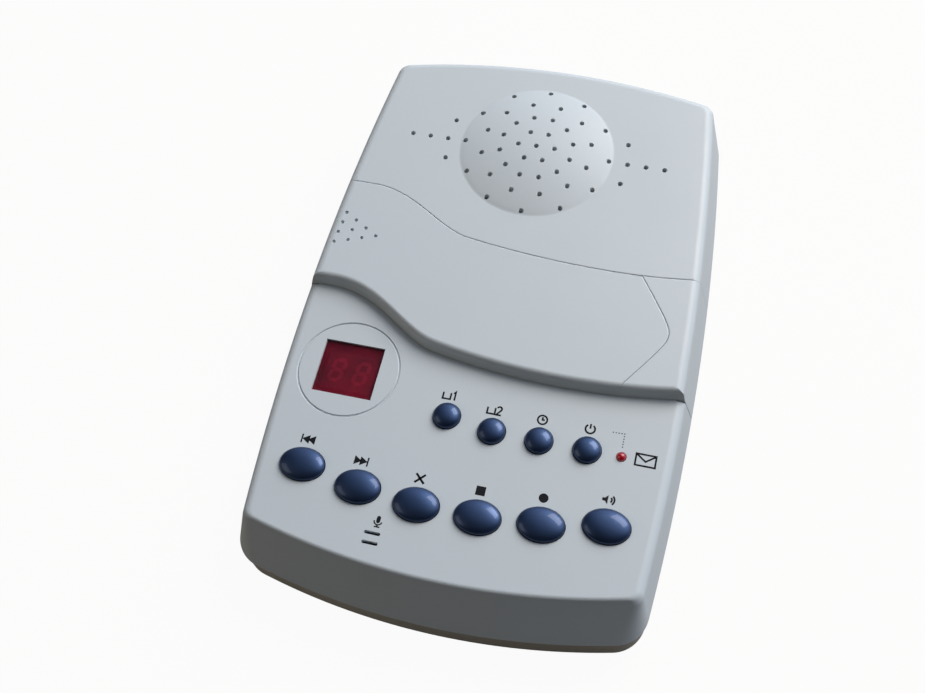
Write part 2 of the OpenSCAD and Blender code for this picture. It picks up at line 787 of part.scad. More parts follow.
module microphone() {
  color(METAL) translate([mic_place[0], mic_place[1], board_z + 0.8]) cylinder(h = 5, d = 6);
}

module microphone_boot() {
  color(RUBBER) translate([mic_place[0], mic_place[1], board_z]) difference() {
    cylinder(h = under_z - board_z, d = 8.6);
    translate([0, 0, 0.8]) cylinder(h = BIG, d = 6);
  }
}

module processor_chip() {
  color(BLACK) translate([across(-12), along(-58), board_z - board_t - 2.6]) cube([20, 14, 2.6]);
}

module memory_chip() {
  color(BLACK) translate([across(18), along(-58), board_z - board_t - 1.3]) cube([18.4, 12, 1.3]);
}

module crystal() {
  color(METAL) translate([across(-26), along(-52), board_z - board_t - 3.6]) {
    linear_extrude(3.6) hull() for (s = [-3, 3]) translate([s, 0]) circle(d = 4.6, $fn = 24);
  }
}

module capacitors() {
  color(BLACK) for (p = [[-34, -66], [42, -56], [30, -74]])
    translate([across(p[0]), along(p[1]), board_z - board_t - 9]) cylinder(h = 9, d = 8);
}

// A board screw at p with its head's seat at z, driven up or, with way -1, down
module board_screw(p, z, way) {
  translate([p[0], p[1], z]) mirror([0, 0, way < 0 ? 1 : 0]) {
    translate([0, 0, -board_head_t]) cylinder(h = board_head_t, d = board_head_d);
    translate([0, 0, -EPS]) cylinder(h = board_screw_l, d = board_screw_d);
  }
}

module board_screws() {
  color(METAL) {
    for (p = board_places) board_screw(p, board_z - board_t, 1);
    for (p = line_posts) board_screw(p, line_board_z, -1);
  }
}

// A flat ribbon of width w and thickness t at x, through points [y, z]
module strip(x, w, t, points) {
  translate([x - w / 2, 0, 0]) rotate([90, 0, 90]) linear_extrude(w)
    for (i = [1:len(points) - 1]) hull()
      for (p = [points[i - 1], points[i]]) translate(p) circle(d = t, $fn = 12);
}

// A round wire of diameter d through points
module wire(d, points) {
  for (i = [1:len(points) - 1]) hull()
    for (p = [points[i - 1], points[i]]) translate(p) sphere(d = d, $fn = 12);
}

ribbon_t = 0.7;
wire_d = 1.2;

// Flat cable from the underside of the main board along the floor to the line board
module board_ribbon() {
  board_run = board_z - board_t - ribbon_t / 2;
  floor_run = floor_z + ribbon_t / 2 + 0.2;
  line_run = line_board_z - board_t - ribbon_t / 2;
  color("#8f9296") strip(-30, 12, ribbon_t, [
    [along(-27), board_run], [along(-21), board_run - 1], [along(-16), floor_run + 1.2],
    [along(-12), floor_run], [line_front - 4, floor_run], [line_front - 2, line_run], [line_front + 3, line_run]
  ]);
}

// ---------- Speaker ----------

module speaker_frame() {
  r = speaker_d / 2;
  color(METAL) translate([0, speaker_y, rim_z]) {
    translate([-7, tab_y - 3.7, -tab_z]) cube([7, 5, 1.2]);
    speaker_basket(r);
  }
}

// Pressed basket of radius r, open in four windows
module speaker_basket(r) {
  difference() {
    rotate_extrude($fn = 96) polygon([
      [magnet_r - 6, -basket_h], [magnet_r, -basket_h], [r - 4, -2.4], [r - 3, -rim_t],
      [r, -rim_t], [r, 0], [r - 3.6, 0], [r - 5, -1.8],
      [magnet_r - 0.6, -basket_h + 0.9], [magnet_r - 6, -basket_h + 0.9]
    ]);
    for (a = [45:90:315]) rotate([0, 0, a]) translate([magnet_r + 1.2, -5, -basket_h - 1])
      cube([5, 10, basket_h - 1]);
  }
}

module speaker_cone() {
  r = speaker_d / 2;
  color("#2a2a2c") translate([0, speaker_y, rim_z]) rotate_extrude($fn = 96) polygon([
    [0, -3.6], [3, -3.9], [6, -5], [7.5, -6.2], [r - 6.5, -1.6], [r - 5, -0.6], [r - 3.6, 0],
    [r - 0.5, 0], [r - 0.5, cone_rim_t], [r - 4, cone_rim_t],
    [r - 5.2, 0.1], [r - 6.6, -0.9], [7.5, -5.2], [6, -4.2], [3, -3.1], [0, -2.8]
  ]);
}

module speaker_magnet() {
  color(BLACK) translate([0, speaker_y, rim_z - basket_h - magnet_h]) {
    cylinder(h = 1.4, r = magnet_r - 2);
    translate([0, 0, 1.4]) cylinder(h = magnet_h - 2.8, r = magnet_r);
    translate([0, 0, magnet_h - 1.4]) cylinder(h = 1.4, r = magnet_r - 2);
  }
}

module speaker_screws() {
  color(METAL) for (p = clamp_places) translate([p[0], p[1], rim_z - rim_t]) {
    translate([0, 0, -washer_t]) cylinder(h = washer_t, d = washer_d);
    translate([0, 0, -washer_t - board_head_t]) cylinder(h = board_head_t + EPS, d = board_head_d);
    translate([0, 0, -EPS]) cylinder(h = 2.2, d = board_screw_d);
  }
}

// ---------- Battery ----------

cell_x = bay_x + snap_l / 2;
stud_out = 6.35;                       // studs of the battery either side of its middle

module battery() {
  r = 2;
  color("#40464f") translate([cell_x, bay_y, bay_floor_z]) {
    difference() {
      translate([-cell_l / 2 + 2.4, -cell_w / 2, 0]) cube([cell_l - 2.4, cell_w, cell_t]);
      for (sy = [-1, 1], sz = [0, 1])
        translate([0, sy * (cell_w / 2 - r), sz ? cell_t - r : r]) difference() {
        translate([-cell_l, sy > 0 ? 0 : -2 * r, sz ? 0 : -2 * r]) cube([2 * cell_l, 2 * r, 2 * r]);
        rotate([0, 90, 0]) cylinder(h = 3 * cell_l, r = r, center = true, $fn = 24);
      }
    }
    for (s = [-1, 1]) translate([-cell_l / 2 + 2.41, s * stud_out, cell_t / 2]) rotate([0, -90, 0])
      cylinder(h = 2.4, d = s > 0 ? 5.6 : 7.6);
  }
}

module battery_snap() {
  color(BLACK) translate([cell_x - cell_l / 2, bay_y, bay_floor_z + cell_t / 2]) difference() {
    translate([-snap_l + 1.6, -12, -6]) cube([snap_l - 1.6, 24, 12]);
    for (s = [-1, 1]) translate([0.1, s * stud_out, 0]) rotate([0, -90, 0]) cylinder(h = 0.2, d = 8);
  }
}

// Two wires from the snap through the wall of the battery box to the main board
module battery_leads() {
  x = cell_x - cell_l / 2 - snap_l + 1.6;
  z = bay_floor_z + cell_t / 2;
  low = board_z - board_t - 2.2;
  color("#8a2a26") for (s = [-1, 1]) wire(wire_d, [
    [x - wire_d / 2, bay_y + 2 * s, z], [x - 6.5 - 1.5 * s, bay_y + 2 * s, z],
    [x - 8 - 2 * s, along(-12), low + 3], [x - 8 - 2 * s, along(-21), low],
    [x - 8 - 2 * s, along(-28), low], [x - 8 - 2 * s, along(-30), board_z - board_t - wire_d / 2]
  ]);
}

// Two wires from the speaker's tab down to the line board
module speaker_leads() {
  y = speaker_y + tab_y;
  color("#8a2a26") for (x = [-5.4, -2]) wire(wire_d, [
    [x, y - 0.6, rim_z - tab_z - wire_d / 2], [x, y + 0.4, (rim_z + line_board_z) / 2],
    [x, y, line_board_z + wire_d / 2]
  ]);
}

// ---------- Line board, sockets and volume control ----------

// Outer face of a socket of width w at x, just inside the bowed back wall
function socket_face(x, w) = back_y - pow(abs(x) + w / 2, 2) / (2 * back_r) - 1.2;

module line_board() {
  color(BOARD) difference() {
    translate([0, 0, line_board_z - board_t]) linear_extrude(board_t) polygon([
      [wheel_x() - 3, wheel_y - 14], [wheel_x() + 7.5, wheel_y - 14], [wheel_x() + 7.5, line_front],
      [line_edge, line_front], [line_edge, back_y - 8], [20, back_y - 5], [-20, back_y - 5],
      [-line_edge, back_y - 8], [-line_edge, wheel_y + 17], [wheel_x() - 3, wheel_y + 17]
    ]);
    for (p = line_posts) translate([p[0], p[1], 0]) cylinder(h = 20, d = board_screw_d + 0.4);
  }
}

module wall_socket(x) {
  color(BLACK) translate([x, socket_face(x, socket_w), line_board_z]) difference() {
    translate([-socket_w / 2, -socket_d, 0]) cube([socket_w, socket_d, socket_h]);
    translate([-4.9, -12, 3.4]) cube([9.8, 13, 6.8]);
    translate([-3, -12, 1.2]) cube([6, 13, 3]);
  }
}

module line_socket() { wall_socket(line_socket_x); }
module phone_socket() { wall_socket(phone_socket_x); }

module power_socket() {
  color(BLACK) translate([power_socket_x, socket_face(power_socket_x, power_w), line_board_z]) {
    difference() {
      translate([-power_w / 2, -power_d, 0]) cube([power_w, power_d, power_h]);
      translate([0, 1, power_h - 4.6]) rotate([90, 0, 0]) cylinder(h = 10.5, d = plug_hole_d);
    }
    translate([0, -1, power_h - 4.6]) rotate([90, 0, 0]) cylinder(h = 9, d = plug_pin_d);
  }
}

module line_transformer() {
  color("#4a3b2a") translate([across(17), back_y - 30, line_board_z]) {
    cube([16, 13, 10]);
    translate([3, -1.5, 1]) cube([10, 16, 8]);
  }
}

module line_relay() {
  color("#c9c4b4") translate([across(-40), back_y - 31, line_board_z]) cube([15, 8, 9]);
}

module volume_pot() {
  color(BLACK) translate([wheel_x(), wheel_y, line_board_z]) difference() {
    translate([-pot_w / 2, -pot_w / 2, 0]) cube([pot_w, pot_w, pot_t]);
    translate([0, 0, pot_t - 3]) cylinder(h = 4, r = pot_shaft_r + shaft_clear);
  }
}

module volume_wheel() {
  teeth = 36;
  hub_h = wheel_z() - line_board_z - pot_t;   // from the wheel down to the control under it
  color(BLACK) translate([wheel_x(), wheel_y, wheel_z()]) {
    linear_extrude(wheel_t) polygon([for (i = [0:2 * teeth - 1])
      let (r = wheel_d / 2 - (i % 2) * 0.35) r * [cos(180 * i / teeth), sin(180 * i / teeth)]]);
    for (h = [[hub_h - 0.3, 4], [hub_h + 2.6, pot_shaft_r]])
      translate([0, 0, -h[0]]) cylinder(h = h[0] + EPS, r = h[1]);
  }
}

// ---------- Fasteners and feet ----------

module case_screws() {
  color(METAL) for (p = case_places) translate([p[0], p[1], tray_z + head_deep]) {
    translate([0, 0, -2]) cylinder(h = 2, d = 5.6);
    translate([0, 0, -EPS]) cylinder(h = parting_z - tray_z - head_deep + case_screw_l - 1.5, d = screw_d);
  }
}

module rubber_feet() {
  color(RUBBER) for (p = foot_places) translate([p[0], p[1], 0]) {
    cylinder(h = foot_h + 0.8, d = foot_d);
  }
}

base_tray();
speaker_cover();
centre_frame();
battery_lid();
control_panel();
repeat_button();
skip_button();
erase_button();
stop_button();
memo_button();
greeting_button();
mailbox_1_button();
mailbox_2_button();
time_button();
power_button();
key_mat();
main_board();
display_module();
display_window();
message_lamp();
microphone();
microphone_boot();
processor_chip();
memory_chip();
crystal();
capacitors();
speaker_frame();
speaker_cone();
speaker_magnet();
speaker_screws();
battery();
battery_snap();
line_board();
line_socket();
phone_socket();
power_socket();
line_transformer();
line_relay();
volume_pot();
volume_wheel();
board_ribbon();
speaker_leads();
battery_leads();
case_screws();
board_screws();
rubber_feet();
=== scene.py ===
"""A desktop answering machine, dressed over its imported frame.

The shapes are worked out in millimetres in the frame's own axes: X runs across, Y towards the
back and Z up, with the origin on the table under the middle of the body. They are turned to
metres when a piece is finished.
"""

import logging
from dataclasses import dataclass, field, replace
from enum import Enum
from typing import Optional, Sequence

import bpy
import numpy as np
from mathutils import Matrix, Vector


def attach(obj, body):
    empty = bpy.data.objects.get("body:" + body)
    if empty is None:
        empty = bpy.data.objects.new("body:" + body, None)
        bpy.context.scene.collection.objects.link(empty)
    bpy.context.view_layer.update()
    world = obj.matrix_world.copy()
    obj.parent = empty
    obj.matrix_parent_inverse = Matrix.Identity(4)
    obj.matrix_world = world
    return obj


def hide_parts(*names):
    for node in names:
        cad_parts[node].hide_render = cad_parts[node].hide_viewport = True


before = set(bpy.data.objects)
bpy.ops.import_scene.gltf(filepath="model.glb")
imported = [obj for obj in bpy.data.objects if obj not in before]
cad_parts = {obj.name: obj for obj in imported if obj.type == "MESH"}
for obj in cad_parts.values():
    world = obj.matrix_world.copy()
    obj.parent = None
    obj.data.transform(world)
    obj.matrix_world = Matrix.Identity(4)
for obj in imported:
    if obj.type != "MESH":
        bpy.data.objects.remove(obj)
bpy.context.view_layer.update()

log = logging.getLogger("answering_machine")

Array = np.ndarray
MM = 0.001
HOUSING = "housing"
# How far a cutter stands over the face that it rounds, so that no film is left
PROUD = 0.004
# How far the seams' cutters reach to each side, past the body
REACH = 80.0
# Nearly all of a noise lies between these values
NOISE_RANGE = (0.3, 0.7)
# How much the largest face counts in a point's normal, in percent
FACE_WEIGHT = 60


# ---------- Solids from arrays ----------


class Joining(Enum):
    """How one solid is combined with others."""

    UNITE = "UNION"
    CUT = "DIFFERENCE"
    SHARE = "INTERSECT"


@dataclass
class Skin:
    """A closed surface: its points, its four-sided faces and its flat end faces."""

    points: Array
    quads: Array
    ends: list[Array]

    def faces(self) -> list[list[int]]:
        """All faces as lists of point numbers."""
        return self.quads.tolist() + [end.tolist() for end in self.ends]

    def at(self, places: Array) -> "Skin":
        """Copies the surface to each place.

        Args:
            places: One row of x, y and z for each copy.

        Returns:
            All the copies as one surface.
        """
        places = np.atleast_2d(places)
        step = len(self.points) * np.arange(len(places))
        points = (self.points[None] + places[:, None]).reshape(-1, 3)
        quads = (self.quads[None] + step[:, None, None]).reshape(-1, 4)
        return Skin(points, quads, [end + shift for shift in step for end in self.ends])


def loft(rings: Array) -> Skin:
    """Joins rings of points into a closed solid.

    Point j of ring i is the surface at parameters (i, j), and the first and last rings are
    closed by flat faces. The rings run anticlockwise seen from the last one's side.

    Args:
        rings: Points in the shape (rings, points in a ring, 3).

    Returns:
        The closed surface.
    """
    count, sides = rings.shape[:2]
    i, j = np.meshgrid(np.arange(count - 1), np.arange(sides), indexing="ij")
    nxt = (j + 1) % sides
    low, high = i * sides, (i + 1) * sides
    quads = np.stack([low + j, low + nxt, high + nxt, high + j], -1)
    ends = [np.arange(sides)[::-1], (count - 1) * sides + np.arange(sides)]
    return Skin(rings.reshape(-1, 3), quads.reshape(-1, 4), ends)


def tube(rings: Array) -> Skin:
    """Joins rings of points into a loop, whose last ring meets its first."""
    whole = loft(np.concatenate([rings, rings[:1]]))
    return Skin(rings.reshape(-1, 3), whole.quads % (rings.shape[0] * rings.shape[1]), [])


def lifted(plan: Array, heights: Array) -> Array:
    """Stacks one plan, or one plan for each height, into rings."""
    heights = np.asarray(heights, float)
    plans = np.broadcast_to(plan, (len(heights),) + plan.shape[-2:])
    levels = np.broadcast_to(heights[:, None, None], plans.shape[:2] + (1,))
    return np.concatenate([plans, levels], -1)


def prism(plan: Array, low: float, high: float) -> Skin:
    """A plan outline raised from one height to another."""
    return loft(lifted(plan, np.array([low, high])))


def block(low: Sequence[float], high: Sequence[float]) -> Skin:
    """A box between two corners."""
    (x0, y0, z0), (x1, y1, z1) = low, high
    return prism(np.array([[x0, y0], [x1, y0], [x1, y1], [x0, y1]]), z0, z1)


def rectangle(length: float, width: float) -> Array:
    """Plan corners of a rectangle about the origin, anticlockwise."""
    return np.array([[-1, -1], [1, -1], [1, 1], [-1, 1]]) * [length / 2, width / 2]


def quarter(steps: int) -> Array:
    """Angles of a quarter turn, from 0 to pi / 2."""
    return np.linspace(0, np.pi / 2, steps)


def circle(angle: Array) -> Array:
    """Points on the unit circle: (cos a, sin a)."""
    return np.stack([np.cos(angle), np.sin(angle)], -1)


def unit(steps: Array) -> Array:
    """Plan vectors scaled to a length of 1."""
    return steps / np.linalg.norm(steps, axis=1, keepdims=True)


def left_of(steps: Array) -> Array:
    """Plan vectors turned a quarter turn to the left."""
    return np.stack([-steps[:, 1], steps[:, 0]], -1)


def rows(plan: Sequence, height: float = 0.0) -> Array:
    """Plan places as rows of x, y and z."""
    plan = np.asarray(plan, float)
    return np.column_stack([plan, np.full(len(plan), height)])


def turned(profile: Sequence[Sequence[float]], sides: int = 96, across: float = 1.0) -> Skin:
    """Turns a profile round the Z axis.

    The surface is (r(i) cos a, r(i) sin a, z(i)) for the angle a.

    Args:
        profile: Radius and height of each ring, from the bottom to the top.
        sides: Number of points round a ring.
        across: Width in Y as a share of the length in X.

    Returns:
        The closed surface, with small flat faces at its poles.
    """
    profile = np.maximum(np.asarray(profile, float), [[0.02, -1e9]])
    angle = np.linspace(0, 2 * np.pi, sides, endpoint=False)
    oval = circle(angle) * [1, across]
    return loft(lifted(profile[:, 0, None, None] * oval, profile[:, 1]))


def cylinder(radius: float, low: float, high: float, sides: int = 96) -> Skin:
    """An upright cylinder on the Z axis."""
    return turned([[radius, low], [radius, high]], sides)


def swept(path: Array, section: Array, height: float = 0.0) -> Skin:
    """Carries a section along a plan path.

    A section point (u, v) goes to path + u times the path's left normal, at height + v.

    Args:
        path: Plan points.
        section: Points across and up, clockwise seen along the path.
        height: Height of the section's origin.

    Returns:
        The closed surface.
    """
    normal = left_of(unit(np.gradient(path, axis=0)))
    plans = path[:, None] + section[None, :, :1] * normal[:, None]
    heights = np.broadcast_to(height + section[None, :, 1:], plans.shape[:2] + (1,))
    return loft(np.concatenate([plans, heights], -1))


class Form:
    """A closed solid in millimetres that others can be joined to, cut from or shared with."""

    def __init__(self, *skins: Skin) -> None:
        """Gathers surfaces that don't touch each other into one solid."""
        self.mesh = bpy.data.meshes.new("form")
        starts = np.cumsum([0] + [len(skin.points) for skin in skins])
        faces = [
            [number + int(start) for number in face]
            for skin, start in zip(skins, starts)
            for face in skin.faces()
        ]
        self.mesh.from_pydata(np.concatenate([skin.points for skin in skins]).tolist(), [], faces)

    def combined(self, joining: Joining, *others: "Form") -> "Form":
        """Combines this solid with others, one after another.

        Args:
            joining: How they are combined.
            others: The solids to combine it with.

        Returns:
            This solid, changed.
        """
        scene = bpy.context.scene.collection
        base = bpy.data.objects.new("work", self.mesh)
        tools = [bpy.data.objects.new("tool", other.mesh) for other in others]
        for obj in [base, *tools]:
            scene.objects.link(obj)
        for tool in tools:
            modifier = base.modifiers.new("combine", "BOOLEAN")
            modifier.operation = joining.value
            modifier.solver = "MANIFOLD"
            modifier.object = tool
        depsgraph = bpy.context.evaluated_depsgraph_get()
        self.mesh = bpy.data.meshes.new_from_object(base.evaluated_get(depsgraph))
        for obj in [base, *tools]:
            bpy.data.objects.remove(obj)
        return self

    def unite(self, *others: "Form") -> "Form":
        """Joins others to this solid."""
        return self.combined(Joining.UNITE, *others)

    def cut(self, *others: "Form") -> "Form":
        """Cuts others out of this solid."""
        return self.combined(Joining.CUT, *others)

    def share(self, *others: "Form") -> "Form":
        """Keeps only what this solid shares with each of the others."""
        return self.combined(Joining.SHARE, *others)


def copies(skin: Skin, plan: Sequence, height: float = 0.0) -> Form:
    """One solid of copies of a surface, at plan places."""
    return Form(skin.at(rows(plan, height)))


# ---------- Materials ----------


def linear(colour: str) -> tuple[float, float, float, float]:
    """Turns an sRGB hex colour such as "#bcc3cb" to linear red, green, blue and alpha."""
    srgb = np.array([int(colour[i : i + 2], 16) for i in (1, 3, 5)]) / 255
    value = np.where(srgb <= 0.04045, srgb / 12.92, ((srgb + 0.055) / 1.055) ** 2.4)
    return (*value.tolist(), 1.0)


def add_node(
    tree: bpy.types.NodeTree,
    kind: str,
    settings: Optional[dict] = None,
    sockets: Optional[dict] = None,
) -> bpy.types.Node:
    """Adds a node with its settings and links.

    Args:
        tree: The material's or world's node tree.
        kind: The node's type without its "ShaderNode" beginning.
        settings: Properties of the node.
        sockets: Input names or numbers, each with a value, a node or a (node, output) pair.

    Returns:
        The new node.
    """
    node = tree.nodes.new("ShaderNode" + kind)
    for name, value in (settings or {}).items():
        setattr(node, name, value)
    for name, value in (sockets or {}).items():
        if isinstance(value, bpy.types.Node):
            value = (value, 0)
        if isinstance(value, tuple) and isinstance(value[0], bpy.types.Node):
            tree.links.new(value[0].outputs[value[1]], node.inputs[name])
        else:
            node.inputs[name].default_value = value
    return node


@dataclass(frozen=True)
class Finish:
    """A finish by its name, with a colour that drifts a little and a fine relief.

    Colours are sRGB hex values, and lengths are in millimetres.
    """

    name: str
    colour: str
    second: str
    roughness: float = 0.5
    grain: float = 0.5
    relief: float = 0.01
    drift: float = 30.0
    metallic: float = 0.0
    ior: float = 1.5
    coat: float = 0.0
    alpha: float = 1.0
    glow: float = 0.0
    uneven: float = 0.06

    def dress(
        self, tree: bpy.types.NodeTree, shader: bpy.types.Node, where: bpy.types.Node
    ) -> None:
        """Adds what only this kind of finish has; a plain finish adds nothing."""

    def material(self) -> bpy.types.Material:
        """Builds the material once and returns it from then on."""
        found = bpy.data.materials.get(self.name)
        if found:
            return found
        material = bpy.data.materials.new(self.name)
        material.use_nodes = True
        material.diffuse_color = linear(self.colour)
        tree = material.node_tree
        tree.nodes.clear()
        where = add_node(tree, "TexCoord")

        def noise(size: float, detail: float) -> bpy.types.Node:
            """A noise whose lumps have about the given size in millimetres."""
            sockets = {"Vector": (where, "Object"), "Scale": 1 / (size * MM), "Detail": detail}
            return add_node(tree, "TexNoise", sockets=sockets)

        grain, drift = noise(self.grain, 3.0), noise(self.drift, 4.0)
        grain.inputs["Roughness"].default_value = 0.55
        colours = {"Factor": drift, 6: linear(self.colour), 7: linear(self.second)}
        tint = add_node(tree, "Mix", {"data_type": "RGBA"}, colours)
        gloss = add_node(
            tree,
            "MapRange",
            sockets={
                "Value": drift,
                "From Min": NOISE_RANGE[0],
                "From Max": NOISE_RANGE[1],
                "To Min": self.roughness - self.uneven,
                "To Max": self.roughness + self.uneven,
            },
        )
        height = {"Strength": 1.0, "Distance": self.relief * MM, "Height": grain}
        bump = add_node(tree, "Bump", sockets=height)
        shader = add_node(
            tree,
            "BsdfPrincipled",
            sockets={
                "Base Color": (tint, 2),
                "Roughness": gloss,
                "Metallic": self.metallic,
                "IOR": self.ior,
                "Coat Weight": self.coat,
                "Alpha": self.alpha,
                "Emission Color": linear(self.colour),
                "Emission Strength": self.glow,
                "Normal": bump,
            },
        )
        add_node(tree, "OutputMaterial", sockets={"Surface": shader})
        self.dress(tree, shader, where)
        return material


@dataclass(frozen=True)
class Laminate(Finish):
    """Glass-fibre circuit board under solder mask, through which copper tracks show lighter."""

    tracks: float = 5.4

    def dress(
        self, tree: bpy.types.NodeTree, shader: bpy.types.Node, where: bpy.types.Node
    ) -> None:
        """Adds copper tracks under the mask: lighter diagonal bands, bent by a coarse noise."""
        bands = add_node(
            tree,
            "TexWave",
            {"wave_type": "BANDS", "bands_direction": "DIAGONAL"},
            {
                "Vector": (where, "Object"),
                "Scale": 1 / (self.tracks * MM),
                "Distortion": 3.0,
                "Detail": 1.0,
            },
        )
        ramp = add_node(tree, "ValToRGB", sockets={"Fac": bands})
        ramp.color_ramp.elements[0].position = 0.55
        ramp.color_ramp.elements[0].color = linear(self.colour)
        ramp.color_ramp.elements[1].position = 0.62
        ramp.color_ramp.elements[1].color = linear(self.second)
        tree.links.new(ramp.outputs["Color"], shader.inputs["Base Color"])


# Injection-moulded ABS from a finely eroded tool: satin, with a grain that just breaks the gloss
SHELL_ABS = Finish("shell_satin_abs", "#c0c8cd", "#b9c2c7", 0.5, grain=0.45, relief=0.006, drift=45)
# The same resin in a warmer shade for the tray
TRAY_ABS = Finish("tray_satin_abs", "#b7b2a6", "#ada89c", 0.5, grain=0.45, relief=0.006, drift=45)
# Pearl-filled ABS, polished: deep blue with a soft bright lobe on the side of the light
KEY_ABS = Finish(
    "button_pearl_abs", "#364a6c", "#2c3c5b", 0.46,
    grain=0.6, relief=0.003, drift=9, metallic=0.88, coat=0.3,
)
# Red-tinted acrylic with a moulded gloss that lets the digits show through. Its bright red second
# colour, drifted in 9 mm patches over the dark one, is painted red glow in the window.
FILTER = Finish(
    "red_filter_acrylic", "#200c1a", "#a01030", 0.12, grain=3, relief=0.002, drift=9, alpha=0.42
)
LENS = Finish(
    "red_lens_epoxy", "#a3101f", "#8a0a18", 0.12,
    grain=2, relief=0.001, drift=2, coat=0.6, glow=0.12,
)
# Digit bars of the unlit display; glow=0.05 is a faint painted glow that lifts them under the
# filter
SEGMENT = Finish(
    "digit_segment_epoxy", "#c03048", "#a0203a", 0.45, grain=0.4, relief=0.004, drift=5, glow=0.05
)
# Near-black digit case; its bright red second colour, drifted in patches, is painted red glow
# inside the window
DIGIT_CASE = Finish(
    "digit_case_polystyrene", "#1c0812", "#a00c1e", 0.6, grain=0.5, relief=0.006, drift=7
)
INK = Finish(
    "pad_printed_ink", "#07080f", "#0b0d16", 0.6, grain=0.3, relief=0.003, drift=3, ior=1.3
)
SILICONE = Finish("key_mat_silicone", "#77797c", "#6c6e71", 0.62, grain=0.8, relief=0.01, drift=12)
RUBBER = Finish("foot_rubber", "#343436", "#2b2b2d", 0.8, grain=0.5, relief=0.02, drift=6)
BLACK_RESIN = Finish(
    "black_moulded_resin", "#1e1e21", "#262629", 0.48, grain=0.5, relief=0.012, drift=8
)
CHIP_EPOXY = Finish("chip_epoxy", "#19191b", "#222225", 0.6, grain=0.3, relief=0.012, drift=5)
CONE_PAPER = Finish(
    "pressed_cone_paper", "#26262a", "#1b1b1e", 0.85, grain=0.7, relief=0.05, drift=6
)
FERRITE = Finish("sintered_ferrite", "#2a2a2d", "#38383c", 0.7, grain=0.4, relief=0.03, drift=7)
STEEL = Finish(
    "zinc_plated_steel", "#b9bcc0", "#a3a7ac", 0.3, grain=0.6, relief=0.01, drift=5, metallic=1.0
)
GOLD = Finish(
    "gold_plated_spring", "#d8b25a", "#c89c48", 0.22, grain=0.6, relief=0.004, drift=3, metallic=1.0
)
CELL_SLEEVE = Finish(
    "battery_sleeve", "#40464f", "#4a515b", 0.35, grain=0.8, relief=0.012, drift=14
)
COIL_TAPE = Finish("transformer_tape", "#7a6528", "#6a5620", 0.4, grain=0.7, relief=0.02, drift=6)
RELAY_CASE = Finish("relay_case", "#c9c4b4", "#bdb8a8", 0.5, grain=0.5, relief=0.008, drift=7)
WIRE = Finish("wire_sleeve", "#8a2a26", "#9a332e", 0.4, grain=0.5, relief=0.004, drift=6)
RIBBON = Finish("flat_cable", "#8f9296", "#9da0a4", 0.45, grain=0.6, relief=0.006, drift=5)
BOARD = Laminate(
    "solder_mask_laminate", "#2c6a40", "#3b8052", 0.38, grain=0.5, relief=0.02, drift=12
)

# The frame's own nodes that are seen as they are, by what they are made of
NODE_FINISHES: dict[Finish, tuple[str, ...]] = {
    SILICONE: ("key_mat",),
    BOARD: ("main_board", "line_board"),
    STEEL: ("microphone", "crystal", "speaker_frame", "speaker_screws", "board_screws"),
    RUBBER: ("microphone_boot",),
    CHIP_EPOXY: ("processor_chip", "memory_chip"),
    BLACK_RESIN: (
        "capacitors", "battery_snap", "line_socket", "phone_socket", "power_socket", "volume_pot",
    ),
    CONE_PAPER: ("speaker_cone",),
    FERRITE: ("speaker_magnet",),
    CELL_SLEEVE: ("battery",),
    COIL_TAPE: ("line_transformer",),
    RELAY_CASE: ("line_relay",),
    RIBBON: ("board_ribbon",),
    WIRE: ("speaker_leads", "battery_leads"),
}


def finish_piece(
    name: str,
    form: Form,
    finish: Finish,
    body: str = HOUSING,
    replaces: Sequence[str] = (),
    slot: Optional[str] = None,
    crease: float = 32.0,
) -> bpy.types.Object:
    """Turns a solid into a finished piece that rides on a body.

    Edges sharper than the crease angle stay sharp. The rest is shaded smooth, with each point's
    normal taken mostly from its largest face, so that flat faces stay flat beside a round edge.

    Args:
        name: The piece's name.
        form: Its solid, in millimetres.
        finish: What it is made of.
        body: The moving body that carries it.
        replaces: Frame nodes that it stands for.
        slot: The record's material slot; it is not used.
        crease: Angle in degrees.

    Returns:
        The finished object.
    """
    mesh = form.mesh
    mesh.transform(Matrix.Scale(MM, 4))
    mesh.shade_smooth()
    mesh.set_sharp_from_angle(angle=np.radians(crease))
    obj = bpy.data.objects.new(name, mesh)
    bpy.context.scene.collection.objects.link(obj)
    modifier = obj.modifiers.new("even_shading", "WEIGHTED_NORMAL")
    modifier.keep_sharp = True
    modifier.weight = FACE_WEIGHT
    depsgraph = bpy.context.evaluated_depsgraph_get()
    baked = bpy.data.meshes.new_from_object(obj.evaluated_get(depsgraph))
    obj.modifiers.clear()
    obj.data = baked
    baked.name = name
    baked.materials.clear()
    baked.materials.append(finish.material())
    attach(obj, body)
    if replaces:
        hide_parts(*replaces)
    log.info("%s: %d faces in %s, on %s", name, len(baked.polygons), finish.name, body)
    return obj


# ---------- The body's plan and heights ----------


def arc(centre: Array, radius: float, start: float, stop: float, steps: int) -> Array:
    """Points on an arc, without its last one: centre + radius (cos a, sin a)."""
    angle = np.linspace(start, stop, steps, endpoint=False)
    return centre + radius * circle(angle)


def heading(v: Array) -> float:
    """Angle of a plan vector from the X axis."""
    return float(np.arctan2(v[1], v[0]))


def meeting(c1: Array, r1: float, c2: Array, r2: float, side: int) -> Array:
    """The point at distance r1 from c1 and r2 from c2, to the right of the line if side is 1."""
    v = c2 - c1
    d = np.linalg.norm(v)
    u = v / d
    a = (r1 * r1 - r2 * r2 + d * d) / (2 * d)
    return c1 + a * u + side * np.sqrt(r1 * r1 - a * a) * np.array([u[1], -u[0]])


def smooth(t: Array) -> Array:
    """Rises from 0 to 1 without a corner: 3 t^2 - 2 t^3."""
    u = np.clip(t, 0, 1)
    return u * u * (3 - 2 * u)


